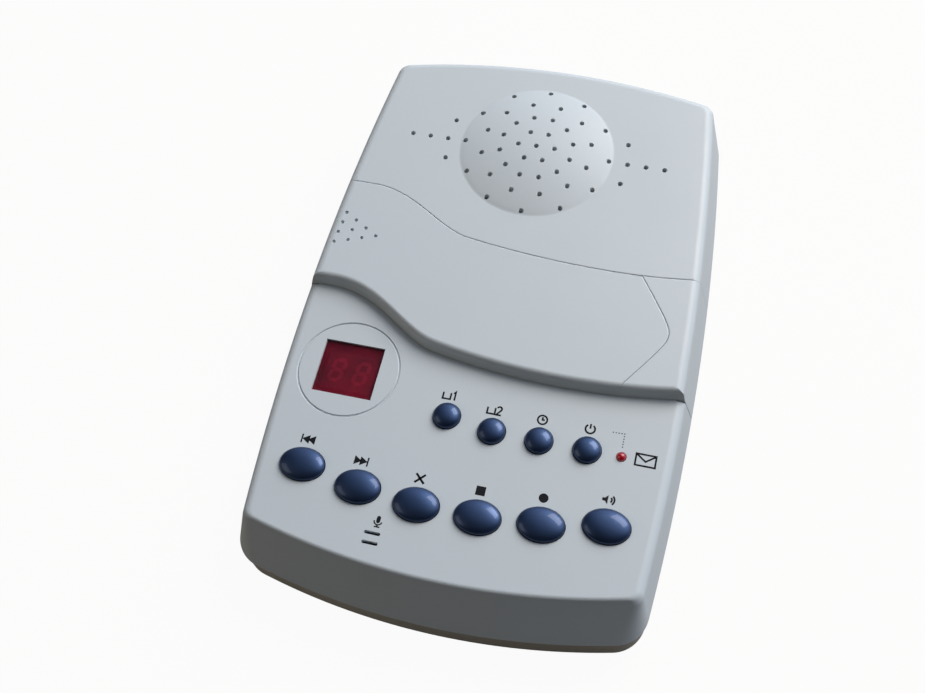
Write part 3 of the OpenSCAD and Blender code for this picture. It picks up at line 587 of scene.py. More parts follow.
@dataclass(frozen=True)
class Seam:
    """A seam across the body: a bow with its lowest point at (low_x, low_y), lifted in a wave
    to left_y between wave_end and wave_start."""

    left_y: float
    low_y: float
    low_x: float
    left_radius: float
    right_radius: float
    wave_start: float
    wave_end: float

    def y(self, x: Array) -> Array:
        """The seam's y: low_y + (x - low_x)^2 / (2 radius), blended to left_y at the left."""
        radius = np.where(x < self.low_x, self.left_radius, self.right_radius)
        bow = self.low_y + (x - self.low_x) ** 2 / (2 * radius)
        rise = smooth((x - self.wave_start) / (self.wave_end - self.wave_start))
        return self.left_y + (bow - self.left_y) * rise

    def path(self, offset: float = 0.0, step: float = 1.0) -> Array:
        """Plan points along the seam, moved back by the offset."""
        x = np.arange(-REACH, REACH + step, step)
        return np.stack([x, self.y(x) + offset], -1)


@dataclass(frozen=True)
class Shape:
    """The sizes that the shells share, in millimetres and degrees, and the forms they come from.

    Heights count from the table. A leaning wall stands in by its distance at a height, and the
    lip is the width and depth of the rounding along a seam.
    """

    length: float = 205.0
    width: float = 137.0
    top: float = 32.0
    step: float = 4.7
    parting: float = 12.8
    wall: float = 2.2
    edge: float = 3.4
    run_in: float = 0.4
    side_lean: float = 14.0
    back_lean: float = 3.0
    front_lean: float = 10.7
    front_edge: float = 1.6
    side_radius: float = 900.0
    front_radius: float = 240.0
    back_radius: float = 250.0
    corner: float = 11.0
    top_corner: float = 3.4
    widest_y: float = -12.0
    gap: float = 0.3
    seam_gap: float = 0.1
    lip: tuple[float, float] = (0.42, 0.22)
    rear_seam: Seam = Seam(39.8, 20.3, 34.6, 319, 192, -53.8, -15.4)
    step_seam: Seam = Seam(0.4, -21.5, 25.9, 219, 219, -57.6, -17.3)
    step_round: float = 2.0
    step_foot: float = 1.0
    lid_nose: tuple[float, float, float, float] = (59.1, 0.4, 0.71, 2.7)
    lid_travel: float = 12.0
    far: float = 200.0

    @property
    def panel(self) -> float:
        """Height of the control panel's top face."""
        return self.top - self.step

    @property
    def under_lid(self) -> float:
        """Height of the rear shells' ceiling."""
        return self.top - self.wall

    @property
    def under_panel(self) -> float:
        """Height of the control panel's ceiling."""
        return self.panel - self.wall

    def side_in(self, z: Array) -> Array:
        """How far the leaning side wall stands in at a height."""
        return np.tan(np.radians(self.side_lean)) * (np.asarray(z, float) - self.parting)

    def back_in(self, z: Array) -> Array:
        """How far the leaning back wall stands in at a height."""
        return np.tan(np.radians(self.back_lean)) * (np.asarray(z, float) - self.parting)

    def front_in(self, z: Array) -> Array:
        """How far the sloping front wall stands in at a height."""
        return self.front_lean * (np.asarray(z, float) - self.parting) / (self.panel - self.parting)

    def stand_in(self, z: float) -> tuple[float, float, float]:
        """How far the side, front and back walls stand in at a height."""
        return tuple(float(wall(z)) for wall in (self.side_in, self.front_in, self.back_in))

    def outline(self, side: float, front: float, back: float, corner: float) -> Array:
        """The body's plan: four bowed sides and four round corners, all tangent arcs.

        Args:
            side: How far the side walls stand in.
            front: How far the front stands in.
            back: How far the back stands in.
            corner: Radius of the corners.

        Returns:
            Plan points, anticlockwise from the middle of the front.
        """
        flank = np.array([self.width / 2 - side - self.side_radius, self.widest_y])
        nose = np.array([0, -self.length / 2 + front + self.front_radius])
        tail = np.array([0, self.length / 2 - back - self.back_radius])
        a = meeting(flank, self.side_radius - corner, nose, self.front_radius - corner, 1)
        b = meeting(flank, self.side_radius - corner, tail, self.back_radius - corner, -1)
        half = np.concatenate(
            [
                arc(nose, self.front_radius, -np.pi / 2, heading(a - nose), 24),
                arc(a, corner, heading(a - nose), heading(a - flank), 16),
                arc(flank, self.side_radius, heading(a - flank), heading(b - flank), 30),
                arc(b, corner, heading(b - flank), heading(b - tail), 16),
                arc(tail, self.back_radius, heading(b - tail), np.pi / 2, 24),
                [[0, self.length / 2 - back]],
            ]
        )
        return np.concatenate([half, half[-2:0:-1] * [-1, 1]])

    def stack(self, levels: Sequence[Sequence[float]]) -> Skin:
        """Lofts outlines: each level is its height, side, front, back and corner."""
        rings = [lifted(self.outline(*level[1:]), np.array([level[0]]))[0] for level in levels]
        return loft(np.array(rings))

    def rounding(self, top: float, steps: int = 12) -> tuple[Array, Array]:
        """Heights and insets of the round upper edge, from where the leaning wall touches it."""
        lean = np.radians(self.side_lean)
        a = np.linspace(lean, np.pi / 2, steps)
        return top - self.edge * (1 - np.sin(a)), self.edge * (np.cos(lean) - np.cos(a))

    def rear_form(self) -> Form:
        """The outer form of the rear half: leaning walls with a round upper edge."""
        z, inset = self.rounding(self.top)
        side, _, back = self.stand_in(z[0])
        levels = [[self.parting + self.gap, 0, 0, 0, self.corner]]
        z, inset = np.append(z, self.top), np.append(inset, inset[-1] + self.run_in)
        corner = self.top_corner + 1 - inset / 3
        levels += [[h, side + i, i, back + i, c] for h, i, c in zip(z, inset, corner)]
        return Form(self.stack(levels))

    def rear_hollow(self, wall: Optional[float] = None, ceiling: Optional[float] = None) -> Form:
        """The room under the rear shells, with walls and a ceiling of the given size."""
        t = self.wall if wall is None else wall
        z = self.under_lid if ceiling is None else ceiling
        (side, _, back), (low_side, _, low_back) = self.stand_in(z), self.stand_in(z - 1.5)
        return Form(
            self.stack(
                [
                    [self.parting - 1, t, t, t, self.corner - t],
                    [self.parting, t, t, t, self.corner - t],
                    [z - 1.5, low_side + t, t, low_back + t, self.top_corner + 1],
                    [z, side + t + 1.2, t + 1.2, back + t + 1.2, self.top_corner],
                ]
            )
        )

    def front_round(self, z: Array) -> Array:
        """Inset of the front wall: the slope, then an arc tangent to it and to the panel's top."""
        slope = np.arctan2(self.panel - self.parting, self.front_lean)
        reach = self.front_edge * np.tan(slope / 2)
        start = self.panel - reach * np.sin(slope)
        rise = np.clip(z - self.panel + self.front_edge, 0, self.front_edge)
        round_in = self.front_lean + reach - np.sqrt(self.front_edge**2 - rise**2)
        return np.where(z < start, self.front_in(z), round_in)

    def panel_form(self) -> Form:
        """The outer form of the control panel, with its sloping front wall."""
        z, inset = self.rounding(self.panel, 20)
        side, front = self.stand_in(z[0])[0], self.front_round(z)
        levels = [[self.parting + self.gap, 0, 0, 0, self.corner]]
        z, front = np.append(z, self.panel), np.append(front, front[-1] + self.run_in)
        inset = np.append(inset, inset[-1] + self.run_in)
        corner = self.top_corner + 0.6 - inset / 3
        levels += [[h, side + i, f, 0, c] for h, i, f, c in zip(z, inset, front, corner)]
        return Form(self.stack(levels))

    def panel_hollow(self) -> Form:
        """The room under the control panel."""
        t, w, c = self.wall * 1.2, self.wall, self.corner - self.wall
        z = self.under_panel
        (side, front, _), (low_side, low_front, _) = self.stand_in(z), self.stand_in(z - 1)
        return Form(
            self.stack(
                [
                    [self.parting - 1, w, t, w, c],
                    [self.parting, w, t, w, c],
                    [z - 1, low_side + w, low_front + t, w, self.top_corner],
                    [z, side + w + 1, front + t, w, self.top_corner],
                ]
            )
        )

    def behind(self, seam: Seam, offset: float, low: float = -1.0, high: float = 42.0) -> Form:
        """Everything behind a seam moved back by the offset."""
        ends = np.array([[REACH, self.far], [-REACH, self.far]])
        return Form(prism(np.concatenate([seam.path(offset), ends]), low, high))

    def ahead(self, seam: Seam, offset: float, low: float = -1.0, high: float = 42.0) -> Form:
        """Everything in front of a seam moved back by the offset."""
        ends = np.array([[-REACH, -self.far], [REACH, -self.far]])
        return Form(prism(np.concatenate([ends, seam.path(offset)[::-1]]), low, high))

    def nose_path(self, offset: float = 0.0, reach: float = 34.0) -> Array:
        """The lid's right end: x = tip - sqrt((slope (y - y0))^2 + roundness^2)."""
        tip, y0, slope, roundness = self.lid_nose
        y = np.linspace(-reach, reach, 137)
        x = tip - np.sqrt((slope * (y - y0)) ** 2 + roundness**2)
        return np.stack([x + offset, y], -1)

    def left_of_nose(self, offset: float, low: float = -1.0) -> Form:
        """Everything to the left of the lid's right end moved right by the offset."""
        path = self.nose_path(offset)
        first, last = path[0, 0], path[-1, 0]
        plan = np.concatenate([[[-90, -60], [first, -60]], path, [[last, 60], [-90, 60]]])
        return Form(prism(plan, low, 60.0))

    def lips(self, path: Array) -> Form:
        """A strip along a seam whose section rounds the upper edges of both its neighbours.

        The section is two quarter ellipses, as wide and deep as the lip, that meet the gap's sides.
        """
        a = quarter(6)
        (w, d), g = self.lip, self.seam_gap / 2
        right = np.stack([g + w * (1 - np.cos(a)), d * (np.sin(a) - 1)], -1)
        left = right[::-1] * [-1, 1]
        reach = g + w + 0.3
        over = [[reach, PROUD], [reach, 1.0], [-reach, 1.0], [-reach, PROUD]]
        return Form(swept(path, np.concatenate([right, over, left]), self.top))

    def step_cut(self) -> Form:
        """Everything in front of and over the step, with the round upper edge of the step."""
        x, y = self.step_seam.path().T
        a = quarter(12)
        r = self.step_round
        across = np.concatenate([[-self.step_foot, -self.step_foot], r * (1 - np.cos(a)), [r]])
        up = np.concatenate([[-1, self.panel], self.top - r + r * np.sin(a), [self.top + 5]])
        wall = np.stack(np.broadcast_arrays(x[:, None], y[:, None] + across, up[None]), -1)
        far = np.array([[-self.far, self.top + 5], [-self.far, -1]])
        back = np.stack(np.broadcast_arrays(x[:, None], far[None, :, 0], far[None, :, 1]), -1)
        return Form(loft(np.concatenate([wall, back], 1)))

    def band_form(self) -> Form:
        """The wave band between the two seams."""
        form = self.rear_form().share(self.ahead(self.rear_seam, -self.seam_gap / 2))
        return form.cut(self.step_cut(), self.lips(self.rear_seam.path()))


SHAPE = Shape()


# ---------- Housing ----------


@dataclass
class Openings:
    """Holes in the side walls for the sockets and the volume wheel.

    Each socket is its x, width and height, and the wheel is the place of its underside.
    """

    board_top: float = 6.7
    clear: float = 0.4
    sockets: tuple = ((-34.0, 13.0, 12.2), (-15.0, 13.0, 12.2), (6.0, 9.0, 11.0))
    wheel: tuple[float, float, float] = (-55.53, 58.0, 14.4)
    wheel_width: float = 3.4
    wheel_diameter: float = 20.0

    def form(self) -> Form:
        """All the openings as one cutting solid."""
        low, back = self.board_top - self.clear, SHAPE.length / 2
        high = low + 2 * self.clear
        skins = []
        for x, w, h in self.sockets:
            half = w / 2 + self.clear
            skins.append(block((x - half, back - 14, low), (x + half, back + 6, high + h)))
        x, y, z = self.wheel
        radius, bottom = self.wheel_diameter / 2 + 1, z - self.clear
        rim = cylinder(radius, bottom, bottom + self.wheel_width + 2 * self.clear)
        return Form(*skins, rim.at([x, y, 0]))


@dataclass
class Tray:
    """The lower shell, with its foot recesses and screw wells.

    A screw's head is its radius and height, and its shank is its radius and length.
    """

    underside: float = 1.5
    screws: tuple = ((-51.5, 88), (51.5, 88), (-54.5, 20), (54.5, 26), (-58, -72), (58, -72))
    feet: tuple = ((-46.5, -84.5), (46.5, -84.5), (-48.5, 72.5), (48.5, 72.5))
    foot_diameter: float = 12.0
    foot_height: float = 1.5
    foot_recess: float = 0.8
    well_diameter: float = 6.2
    well_depth: float = 4.2
    post_diameter: float = 8.0
    bore_diameter: float = 3.5
    head: tuple[float, float] = (2.8, 2.0)
    shank: tuple[float, float] = (1.45, 15.0)
    lower_edge: tuple[float, float] = (1.2, 1.5)
    lip_height: float = 1.5
    lip_gap: float = 0.3
    side_taper: float = 0.4
    rim_in: float = 0.3

    def shell(self) -> Form:
        """The tray: a shallow dish with a round lower edge and a locating lip."""
        c, u, top, wall = SHAPE.corner, self.underside, SHAPE.parting, SHAPE.wall
        taper, rim = self.side_taper, self.rim_in
        (wide, high), a = self.lower_edge, quarter(8)
        inset, height = wide * (1 - np.sin(a)), u + high * (1 - np.cos(a))
        levels = [[u, taper + 1.6, 1.6, 1.6, c - 2]]
        levels += [[h, taper + i, i, rim + i, c - i] for h, i in zip(height, inset)]
        levels += [[top - 0.35, rim + 0.1, rim, rim, c]]
        levels += [[top - 0.1, rim + 0.15, rim + 0.1, rim + 0.1, c]]
        levels += [[top, rim + 0.35, rim + 0.35, rim + 0.35, c]]
        form = Form(SHAPE.stack(levels))
        floor = u + wall
        room = [
            [floor, taper + wall + 0.9, 3.6, 3.8, c - 3],
            [floor + 1, taper + wall - 0.1, 2.7, 2.8, c - 2.4],
            [top + 1, rim + wall + 0.1, 2.7, 2.8, c - 2.4],
        ]
        form.cut(Form(SHAPE.stack(room)))
        form.unite(self.lip())
        post = self.post_diameter / 2
        return form.unite(copies(cylinder(post, floor - 0.01, top, 48), self.screws))

    def lip(self) -> Form:
        """The lip that stands up inside the upper shells."""
        top, gap, c = SHAPE.parting, self.lip_gap, SHAPE.corner - SHAPE.wall

        def ring(extra: float, low: float, high: float) -> Form:
            """The room inside the upper shells, drawn in by an extra amount."""
            side, front = SHAPE.wall + gap + extra, SHAPE.wall * 1.2 + gap + extra
            lean, slope, back = SHAPE.stand_in(high)
            levels = [
                [low, side - 0.1, side - 0.1, side - 0.1, c],
                [top, side, front, side, c],
                [high, side + lean, front + slope, side + back, c],
            ]
            return Form(SHAPE.stack(levels))

        high = top + self.lip_height
        return ring(0, top - 3, high).cut(ring(1, top - 4, high + 1))

    def build(self) -> None:
        """Makes the tray, its feet and its screws."""
        form = self.shell()
        well, under = self.well_diameter / 2, self.underside
        bore, foot = self.bore_diameter / 2, self.foot_diameter / 2 + 0.2
        wide, deep = well + 0.4, under + self.well_depth
        head = turned([[wide, under - 1], [wide, under], [well, under + 0.4], [well, deep]], 48)
        form.cut(copies(cylinder(bore, 4, 30, 32), self.screws))
        form.cut(copies(head, self.screws))
        form.cut(copies(cylinder(foot, 0, under + self.foot_recess, 72), self.feet))
        form.cut(Openings().form())
        finish_piece("tray_shell", form, TRAY_ABS, replaces=["base_tray"], slot="base_shell")
        self.rubber_feet()
        self.screw_heads()

    def rubber_feet(self) -> None:
        """Feet with a round rim and a slightly dished sole."""
        r, h = self.foot_diameter / 2, self.foot_height + self.foot_recess
        a = quarter(6)
        sole = np.column_stack([[0.02, r - 1.6, r - 1.1, r - 0.8], [0.35, 0.35, 0.08, 0]])
        rim = np.column_stack([r - 0.6 + 0.6 * np.sin(a), 0.6 * (1 - np.cos(a))])
        profile = np.concatenate([sole, rim, [[r, h], [0.02, h]]])
        form = copies(turned(profile, 72), self.feet)
        finish_piece("foot_pads", form, RUBBER, replaces=["rubber_feet"], slot="rubber")

    def screw_heads(self) -> None:
        """Pan-head screws with a cross recess, seen at the bottom of their wells."""
        seat = self.underside + self.well_depth
        (r, height), (thin, length), edge = self.head, self.shank, 0.9
        low, a = seat - height, quarter(8)
        dome = np.column_stack([r - edge + edge * np.sin(a), low + edge * (1 - np.cos(a))])
        tip = seat + length
        shank = [[r, seat], [thin, seat], [thin, tip], [0.02, tip + 0.6]]
        form = copies(turned(np.concatenate([[[0.02, low]], dome, shank]), 40), self.screws)
        for x, y in ((1.6, 0.3), (0.3, 1.6)):
            form.cut(copies(block((-x, -y, low - 0.5), (x, y, low + 1)), self.screws))
        finish_piece("case_screw_set", form, STEEL, replaces=["case_screws"], slot="steel")


@dataclass
class SpeakerCover:
    """The rear upper shell, with the pierced dome and the ring that holds the speaker.

    The ring is its wall and how far it hangs down.
    """

    centre_y: float = 63.6
    dome_radius: float = 27.3
    dome_height: float = 3.2
    dome_foot: float = 1.5
    dome_rim: float = 26.5
    pitch: float = 6.45
    hole: float = 1.6
    hole_edge: float = 0.22
    speaker: float = 57.0
    ring: tuple[float, float] = (1.9, 2.8)
    seat_width: float = 2.5

    @property
    def ball(self) -> float:
        """Radius of the ball that the dome is part of."""
        return (self.dome_radius**2 + self.dome_height**2) / (2 * self.dome_height)

    def dome_z(self, r: Array) -> Array:
        """Height of the dome at a radius: the ball, then its foot blended down to the top face."""
        near = np.minimum(r, self.dome_radius + 4)
        ball = SHAPE.top + self.dome_height - self.ball + np.sqrt(self.ball**2 - near**2)
        start = self.dome_radius - self.dome_foot
        t = smooth((r - start) / (2 * self.dome_foot))
        return np.maximum(ball, SHAPE.top) * (1 - t) + SHAPE.top * t

    def dome(self) -> Form:
        """The dome, turned from dome_z."""
        end = self.dome_radius + self.dome_foot
        foot = np.linspace(end, self.dome_radius - self.dome_foot, 12)
        r = np.concatenate([foot, np.linspace(self.dome_rim, 0, 24)])
        z = self.dome_z(r)
        z[0] -= 0.01
        profile = np.concatenate([[[end, SHAPE.top - 1]], np.stack([r, z], -1)])
        return Form(turned(profile, 144).at([0, self.centre_y, 0]))

    def hole_plan(self) -> Array:
        """Plan places of the sound holes: rings about the centre, and a row to each side."""
        twelve, sides = 30 * np.arange(12.0), np.array([0.0, 180])
        polar = [(0.0, np.array([0.0])), (1, 60 * np.arange(6.0)), (2, 15 + twelve)]
        polar += [(3, 15 + twelve), (4, twelve), (5, np.array([-15.0, 0, 15, 165, 180, 195]))]
        polar += [(6, sides), (7, sides)]
        k = np.concatenate([np.full(len(angles), ring, float) for ring, angles in polar])
        a = np.radians(np.concatenate([angles for _, angles in polar]))
        return [0, self.centre_y] + self.pitch * k[:, None] * circle(a)

    def holes(self) -> Form:
        """Cutters for the sound holes, each flared where it meets the dome."""
        plan = self.hole_plan()
        z = self.dome_z(np.hypot(plan[:, 0], plan[:, 1] - self.centre_y))
        r, e = self.hole / 2, self.hole_edge
        profile = [[r, -7], [r, -e], [r + 0.3 * e, -0.35 * e], [r + e, 0.1 * e], [r + e, 2]]
        return Form(turned(profile, 20).at(np.column_stack([plan, z])))

    def build(self) -> None:
        """Makes the cover."""
        rim, z, (thick, deep) = self.speaker / 2, SHAPE.under_lid, self.ring
        hole = rim - self.seat_width
        form = SHAPE.rear_form().share(SHAPE.behind(SHAPE.rear_seam, SHAPE.seam_gap / 2))
        form.cut(SHAPE.rear_hollow(), SHAPE.lips(SHAPE.rear_seam.path()))
        form.unite(self.dome())
        ring = cylinder(rim + thick, z - deep, z + 0.5, 120)
        form.unite(Form(ring.at([0, self.centre_y, 0])))
        inner = self.ball - SHAPE.wall
        a = np.linspace(0, np.arcsin(hole / inner), 16)
        centre = SHAPE.top + self.dome_height - self.ball
        arch = np.column_stack([inner * np.sin(a), centre + inner * np.cos(a)])[::-1]
        seat = [[rim + 0.3, z - 4], [rim + 0.3, z - 1.0], [hole, z - 1.0]]
        room = np.concatenate([seat, arch])
        form.cut(Form(turned(room, 120).at([0, self.centre_y, 0])))
        form.cut(self.holes(), Openings().form())
        finish_piece("rear_cover", form, SHELL_ABS, replaces=["speaker_cover"], slot="shell")


@dataclass
class Band:
    """The wave band: the sliding battery lid, and the fixed frame with its deck and bay.

    The hooks and the tongue are each a width, a thickness and a reach. The bay and the slot for
    the battery's leads are each two corners.
    """

    grip_first: tuple[float, float] = (-59.4, 26.35)
    grip_column: tuple[float, float] = (4.2, -2.5)
    grip_row: tuple[float, float] = (-0.35, -4.1)
    grip_diameter: float = 1.25
    grip_depth: float = 1.0
    deck: float = 2.0
    deck_edge: float = 3.8
    hook_plan: tuple = ((-50.0, 30.0), (-46.0, 13.5), (-29.0, 5.0), (-8.0, 19.5))
    hook: tuple[float, float, float] = (4.0, 1.8, 5.0)
    hook_below: float = 1.4
    toe_thick: float = 1.2
    tongue: tuple[float, float, float] = (9.0, 1.0, 1.7)
    bay_low: tuple[float, float, float] = (-12.35, -12.75, 11.5)
    bay_high: tuple[float, float] = (43.15, 14.75)
    bay_wall: float = 1.6
    lead_slot: tuple = ((-2.4, 18.85), (4.4, 21.65))

    @property
    def deck_top(self) -> float:
        """Height of the deck's top face."""
        return SHAPE.under_lid - SHAPE.gap

    def grips(self) -> Form:
        """Pits with round bottoms, in columns of 4, 3, 2 and 1."""
        c, r = np.meshgrid(np.arange(4), np.arange(4), indexing="ij")
        c, r = c[c + r < 4][:, None], r[c + r < 4][:, None]
        column, row = np.array(self.grip_column), np.array(self.grip_row)
        plan = np.array(self.grip_first) + c * column + r * row
        r, edge, depth = self.grip_diameter / 2, 0.12, self.grip_depth
        a = quarter(8)
        pit = np.column_stack([r * np.sin(a), r - depth - r * np.cos(a)])
        lip = [[r, -edge], [r + 0.3 * edge, -0.3 * edge], [r + edge, PROUD], [r + edge, 1.0]]
        return copies(turned(np.concatenate([pit, lip]), 24), plan, SHAPE.top)

    def lid(self) -> None:
        """Makes the lid, with its hooks and its tongue.

        Its rear edge runs straight past the seam's lowest point, so that it clears the cover
        when the lid slides.
        """
        form = SHAPE.band_form().share(SHAPE.left_of_nose(-SHAPE.seam_gap / 2))
        level = replace(SHAPE.rear_seam, right_radius=1e6)
        form.share(SHAPE.ahead(level, -SHAPE.seam_gap / 2))
        form.cut(SHAPE.lips(SHAPE.nose_path()))
        form.cut(SHAPE.rear_hollow().share(SHAPE.behind(SHAPE.step_seam, SHAPE.wall)))
        form.cut(SHAPE.rear_hollow().share(SHAPE.ahead(SHAPE.rear_seam, 10, 0, SHAPE.panel + 0.2)))
        width, thick, toe = self.hook
        low = self.deck_top - self.deck - self.hook_below
        leg = block((0, -width / 2, low), (thick, width / 2, SHAPE.under_lid + 0.01))
        foot = block((0.01, -width / 2, low), (thick + toe, width / 2, low + self.toe_thick))
        form.unite(copies(leg, self.hook_plan), copies(foot, self.hook_plan))
        width, thick, reach = self.tongue
        tip, y0 = SHAPE.lid_nose[0] - SHAPE.lid_nose[3], SHAPE.lid_nose[1]
        z, half = SHAPE.under_lid, width / 2
        form.unite(Form(block((tip - 4, y0 - half, z), (tip + reach, y0 + half, z + thick))))
        form.cut(self.grips())
        finish_piece("sliding_lid", form, SHELL_ABS, "battery_lid", ["battery_lid"], "shell")

    def hook_slots(self, low: float) -> Form:
        """Slots in the deck, whose underside is at low, as long as the lid's travel."""
        width, thick, _ = self.hook
        half = width / 2 + 0.4
        corner = (thick + 0.4, half, low + self.deck + 1)
        return copies(block((-SHAPE.lid_travel - 0.6, -half, low - 1), corner), self.hook_plan)

    def tongue_pocket(self) -> Form:
        """The pocket in the right end that the lid's tongue slides into."""
        width, thick, reach = self.tongue
        tip, middle = SHAPE.lid_nose[0] - SHAPE.lid_nose[3], SHAPE.lid_nose[1]
        z, half = self.deck_top - 0.01, width / 2 + 0.3
        corner = (tip + reach + 0.5, middle + half, z + thick + SHAPE.gap + 0.2)
        return Form(block((tip - 2, middle - half, z), corner))

    def frame(self) -> None:
        """Makes the raised right end with its side wall, the deck and the battery bay."""
        gap, wall = SHAPE.gap, SHAPE.wall
        form = SHAPE.band_form().cut(SHAPE.left_of_nose(SHAPE.seam_gap / 2))
        form.cut(SHAPE.lips(SHAPE.nose_path()))
        core = SHAPE.rear_hollow().share(SHAPE.behind(SHAPE.step_seam, wall))
        core.share(SHAPE.ahead(SHAPE.rear_seam, 10).cut(SHAPE.left_of_nose(wall)))
        under = SHAPE.ahead(SHAPE.rear_seam, 10, 0, SHAPE.panel + 0.2)
        form.cut(core, SHAPE.rear_hollow().share(under))
        low = self.deck_top - self.deck
        deck = SHAPE.rear_hollow(wall + 0.3)
        deck.share(SHAPE.behind(SHAPE.step_seam, self.deck_edge, low, self.deck_top))
        form.unite(deck.share(SHAPE.ahead(SHAPE.rear_seam, 4)))
        web = SHAPE.rear_hollow(wall + 0.3, SHAPE.under_lid + 1)
        web.share(SHAPE.behind(SHAPE.step_seam, wall + 0.2, low + 1, SHAPE.under_lid + 1))
        edge = SHAPE.left_of_nose(wall).cut(SHAPE.left_of_nose(gap / 2, -2))
        form.unite(web.share(SHAPE.ahead(SHAPE.rear_seam, -gap / 2), edge))
        (x0, y0, z0), (x1, y1), t = self.bay_low, self.bay_high, self.bay_wall
        form.unite(Form(block((x0 - t, y0 - t, z0 - t), (x1 + t, y1 + t, low + 1))))
        (near, below), (far, above) = self.lead_slot
        leads = block((x0 - t - 1, near, below), (x0 + 1, far, above))
        form.cut(Form(block((x0, y0, z0), (x1, y1, 80))), Form(leads))
        form.cut(self.hook_slots(low), self.tongue_pocket())
        finish_piece("band_frame", form, SHELL_ABS, replaces=["centre_frame"], slot="shell")

    def build(self) -> None:
        """Makes both pieces of the band."""
        self.lid()
        self.frame()


@dataclass
class ControlPanel:
    """The front shell, with its button holes, window, ring groove and microphone slots.

    Holes, window and slots are each a length and a width, and the lamp is a diameter.
    """

    pitch: float = 19.3
    row_y: float = -70.2
    row_bow: float = 0.0024
    large: tuple[float, float] = (14.6, 11.0)
    small: float = 8.8
    small_plan: tuple = ((-7.5, -39.4), (7.6, -41.6), (22.8, -41.7), (38.0, -41.7))
    clear: float = 0.18
    hole_edge: float = 0.12
    window: tuple[float, float] = (20.2, 18.8)
    window_plan: tuple[float, float] = (-43.2, -29.7)
    ring: float = 16.8
    groove_radius: float = 0.42
    lamp_plan: tuple[float, float] = (48.7, -41.7)
    lamp: float = 3.0
    mic_plan: tuple[float, float] = (-20.5, -83.0)
    slot: tuple[float, float] = (5.2, 1.1)
    slot_pitch: float = 3.1
    shelf: float = 2.6

    def large_plan(self) -> Array:
        """Places of the large buttons: a row whose y bends back with x squared."""
        x = np.arange(-2.5, 3) * self.pitch
        return np.stack([x, self.row_y + self.row_bow * x**2], -1)

    def hole(self, length: float, width: float) -> Skin:
        """A cutter for an oval hole with a round upper edge."""
        e, top = self.hole_edge, SHAPE.panel
        a = quarter(5)
        half, share = length / 2 + self.clear, (width + 2 * self.clear) / (length + 2 * self.clear)
        lip = np.column_stack([half + e * (1 - np.cos(a)), top - e + e * np.sin(a)])
        lip[-1, 1] += PROUD
        profile = np.concatenate([[[half, top - SHAPE.wall - 2]], lip, [[half + e, top + 2]]])
        return turned(profile, 96, share)

    def slots(self) -> Form:
        """The microphone's two slots, with round ends."""
        length, width = self.slot
        r = width / 2
        ends = [
            arc(np.array([side * (length / 2 - r), 0]), r, start, start + np.pi, 9)
            for side, start in ((1, -np.pi / 2), (-1, np.pi / 2))
        ]
        skin = prism(np.concatenate(ends), SHAPE.under_panel - 1, SHAPE.panel + 1)
        x, y = self.mic_plan
        return Form(skin.at([[x, y - self.slot_pitch / 2, 0], [x, y + self.slot_pitch / 2, 0]]))

    def groove(self) -> Form:
        """The ring groove: a half-round section turned round the window's centre."""
        r, middle = self.groove_radius, np.array([self.ring, SHAPE.panel])
        x, y = self.window_plan
        angle = np.linspace(0, 2 * np.pi, 180, endpoint=False)
        half = middle + r * circle(np.linspace(0, np.pi, 9)) * [1, -1]
        section = np.concatenate([half, middle + [[-r, 1], [r, 1]]])
        plans = section[None, :, :1] * circle(angle)[:, None]
        heights = np.broadcast_to(section[None, :, 1:], plans.shape[:2] + (1,))
        return Form(tube(np.concatenate([plans, heights], -1)).at([x, y, 0]))

    def build(self) -> None:
        """Makes the panel."""
        form = SHAPE.panel_form().share(SHAPE.ahead(SHAPE.step_seam, -SHAPE.step_foot - SHAPE.gap))
        form.cut(SHAPE.panel_hollow())
        shelf = SHAPE.rear_hollow(SHAPE.wall + 0.3, SHAPE.top)
        shelf.share(SHAPE.ahead(SHAPE.step_seam, self.shelf, SHAPE.under_panel, SHAPE.panel))
        form.unite(shelf.share(SHAPE.behind(SHAPE.step_seam, -6)))
        form.cut(copies(self.hole(*self.large), self.large_plan()))
        form.cut(copies(self.hole(self.small, self.small), self.small_plan))
        lamp = self.lamp - 2 * self.clear + 0.2
        form.cut(copies(self.hole(lamp, lamp), [self.lamp_plan]))
        x, y = self.window_plan
        for ledge, low, high in ((0, -1, SHAPE.wall + 1), (1, -1, 1.1)):
            window = rectangle(*(size + 2 * ledge for size in self.window)) + [x, y]
            form.cut(Form(prism(window, SHAPE.under_panel + low, SHAPE.under_panel + high)))
        form.cut(self.groove(), self.slots())
        finish_piece("front_panel", form, SHELL_ABS, replaces=["control_panel"], slot="shell")


# ---------- Buttons, display and lamp ----------


@dataclass
class OnPanel:
    """Something whose place comes from the control panel."""

    panel: ControlPanel = field(default_factory=ControlPanel)


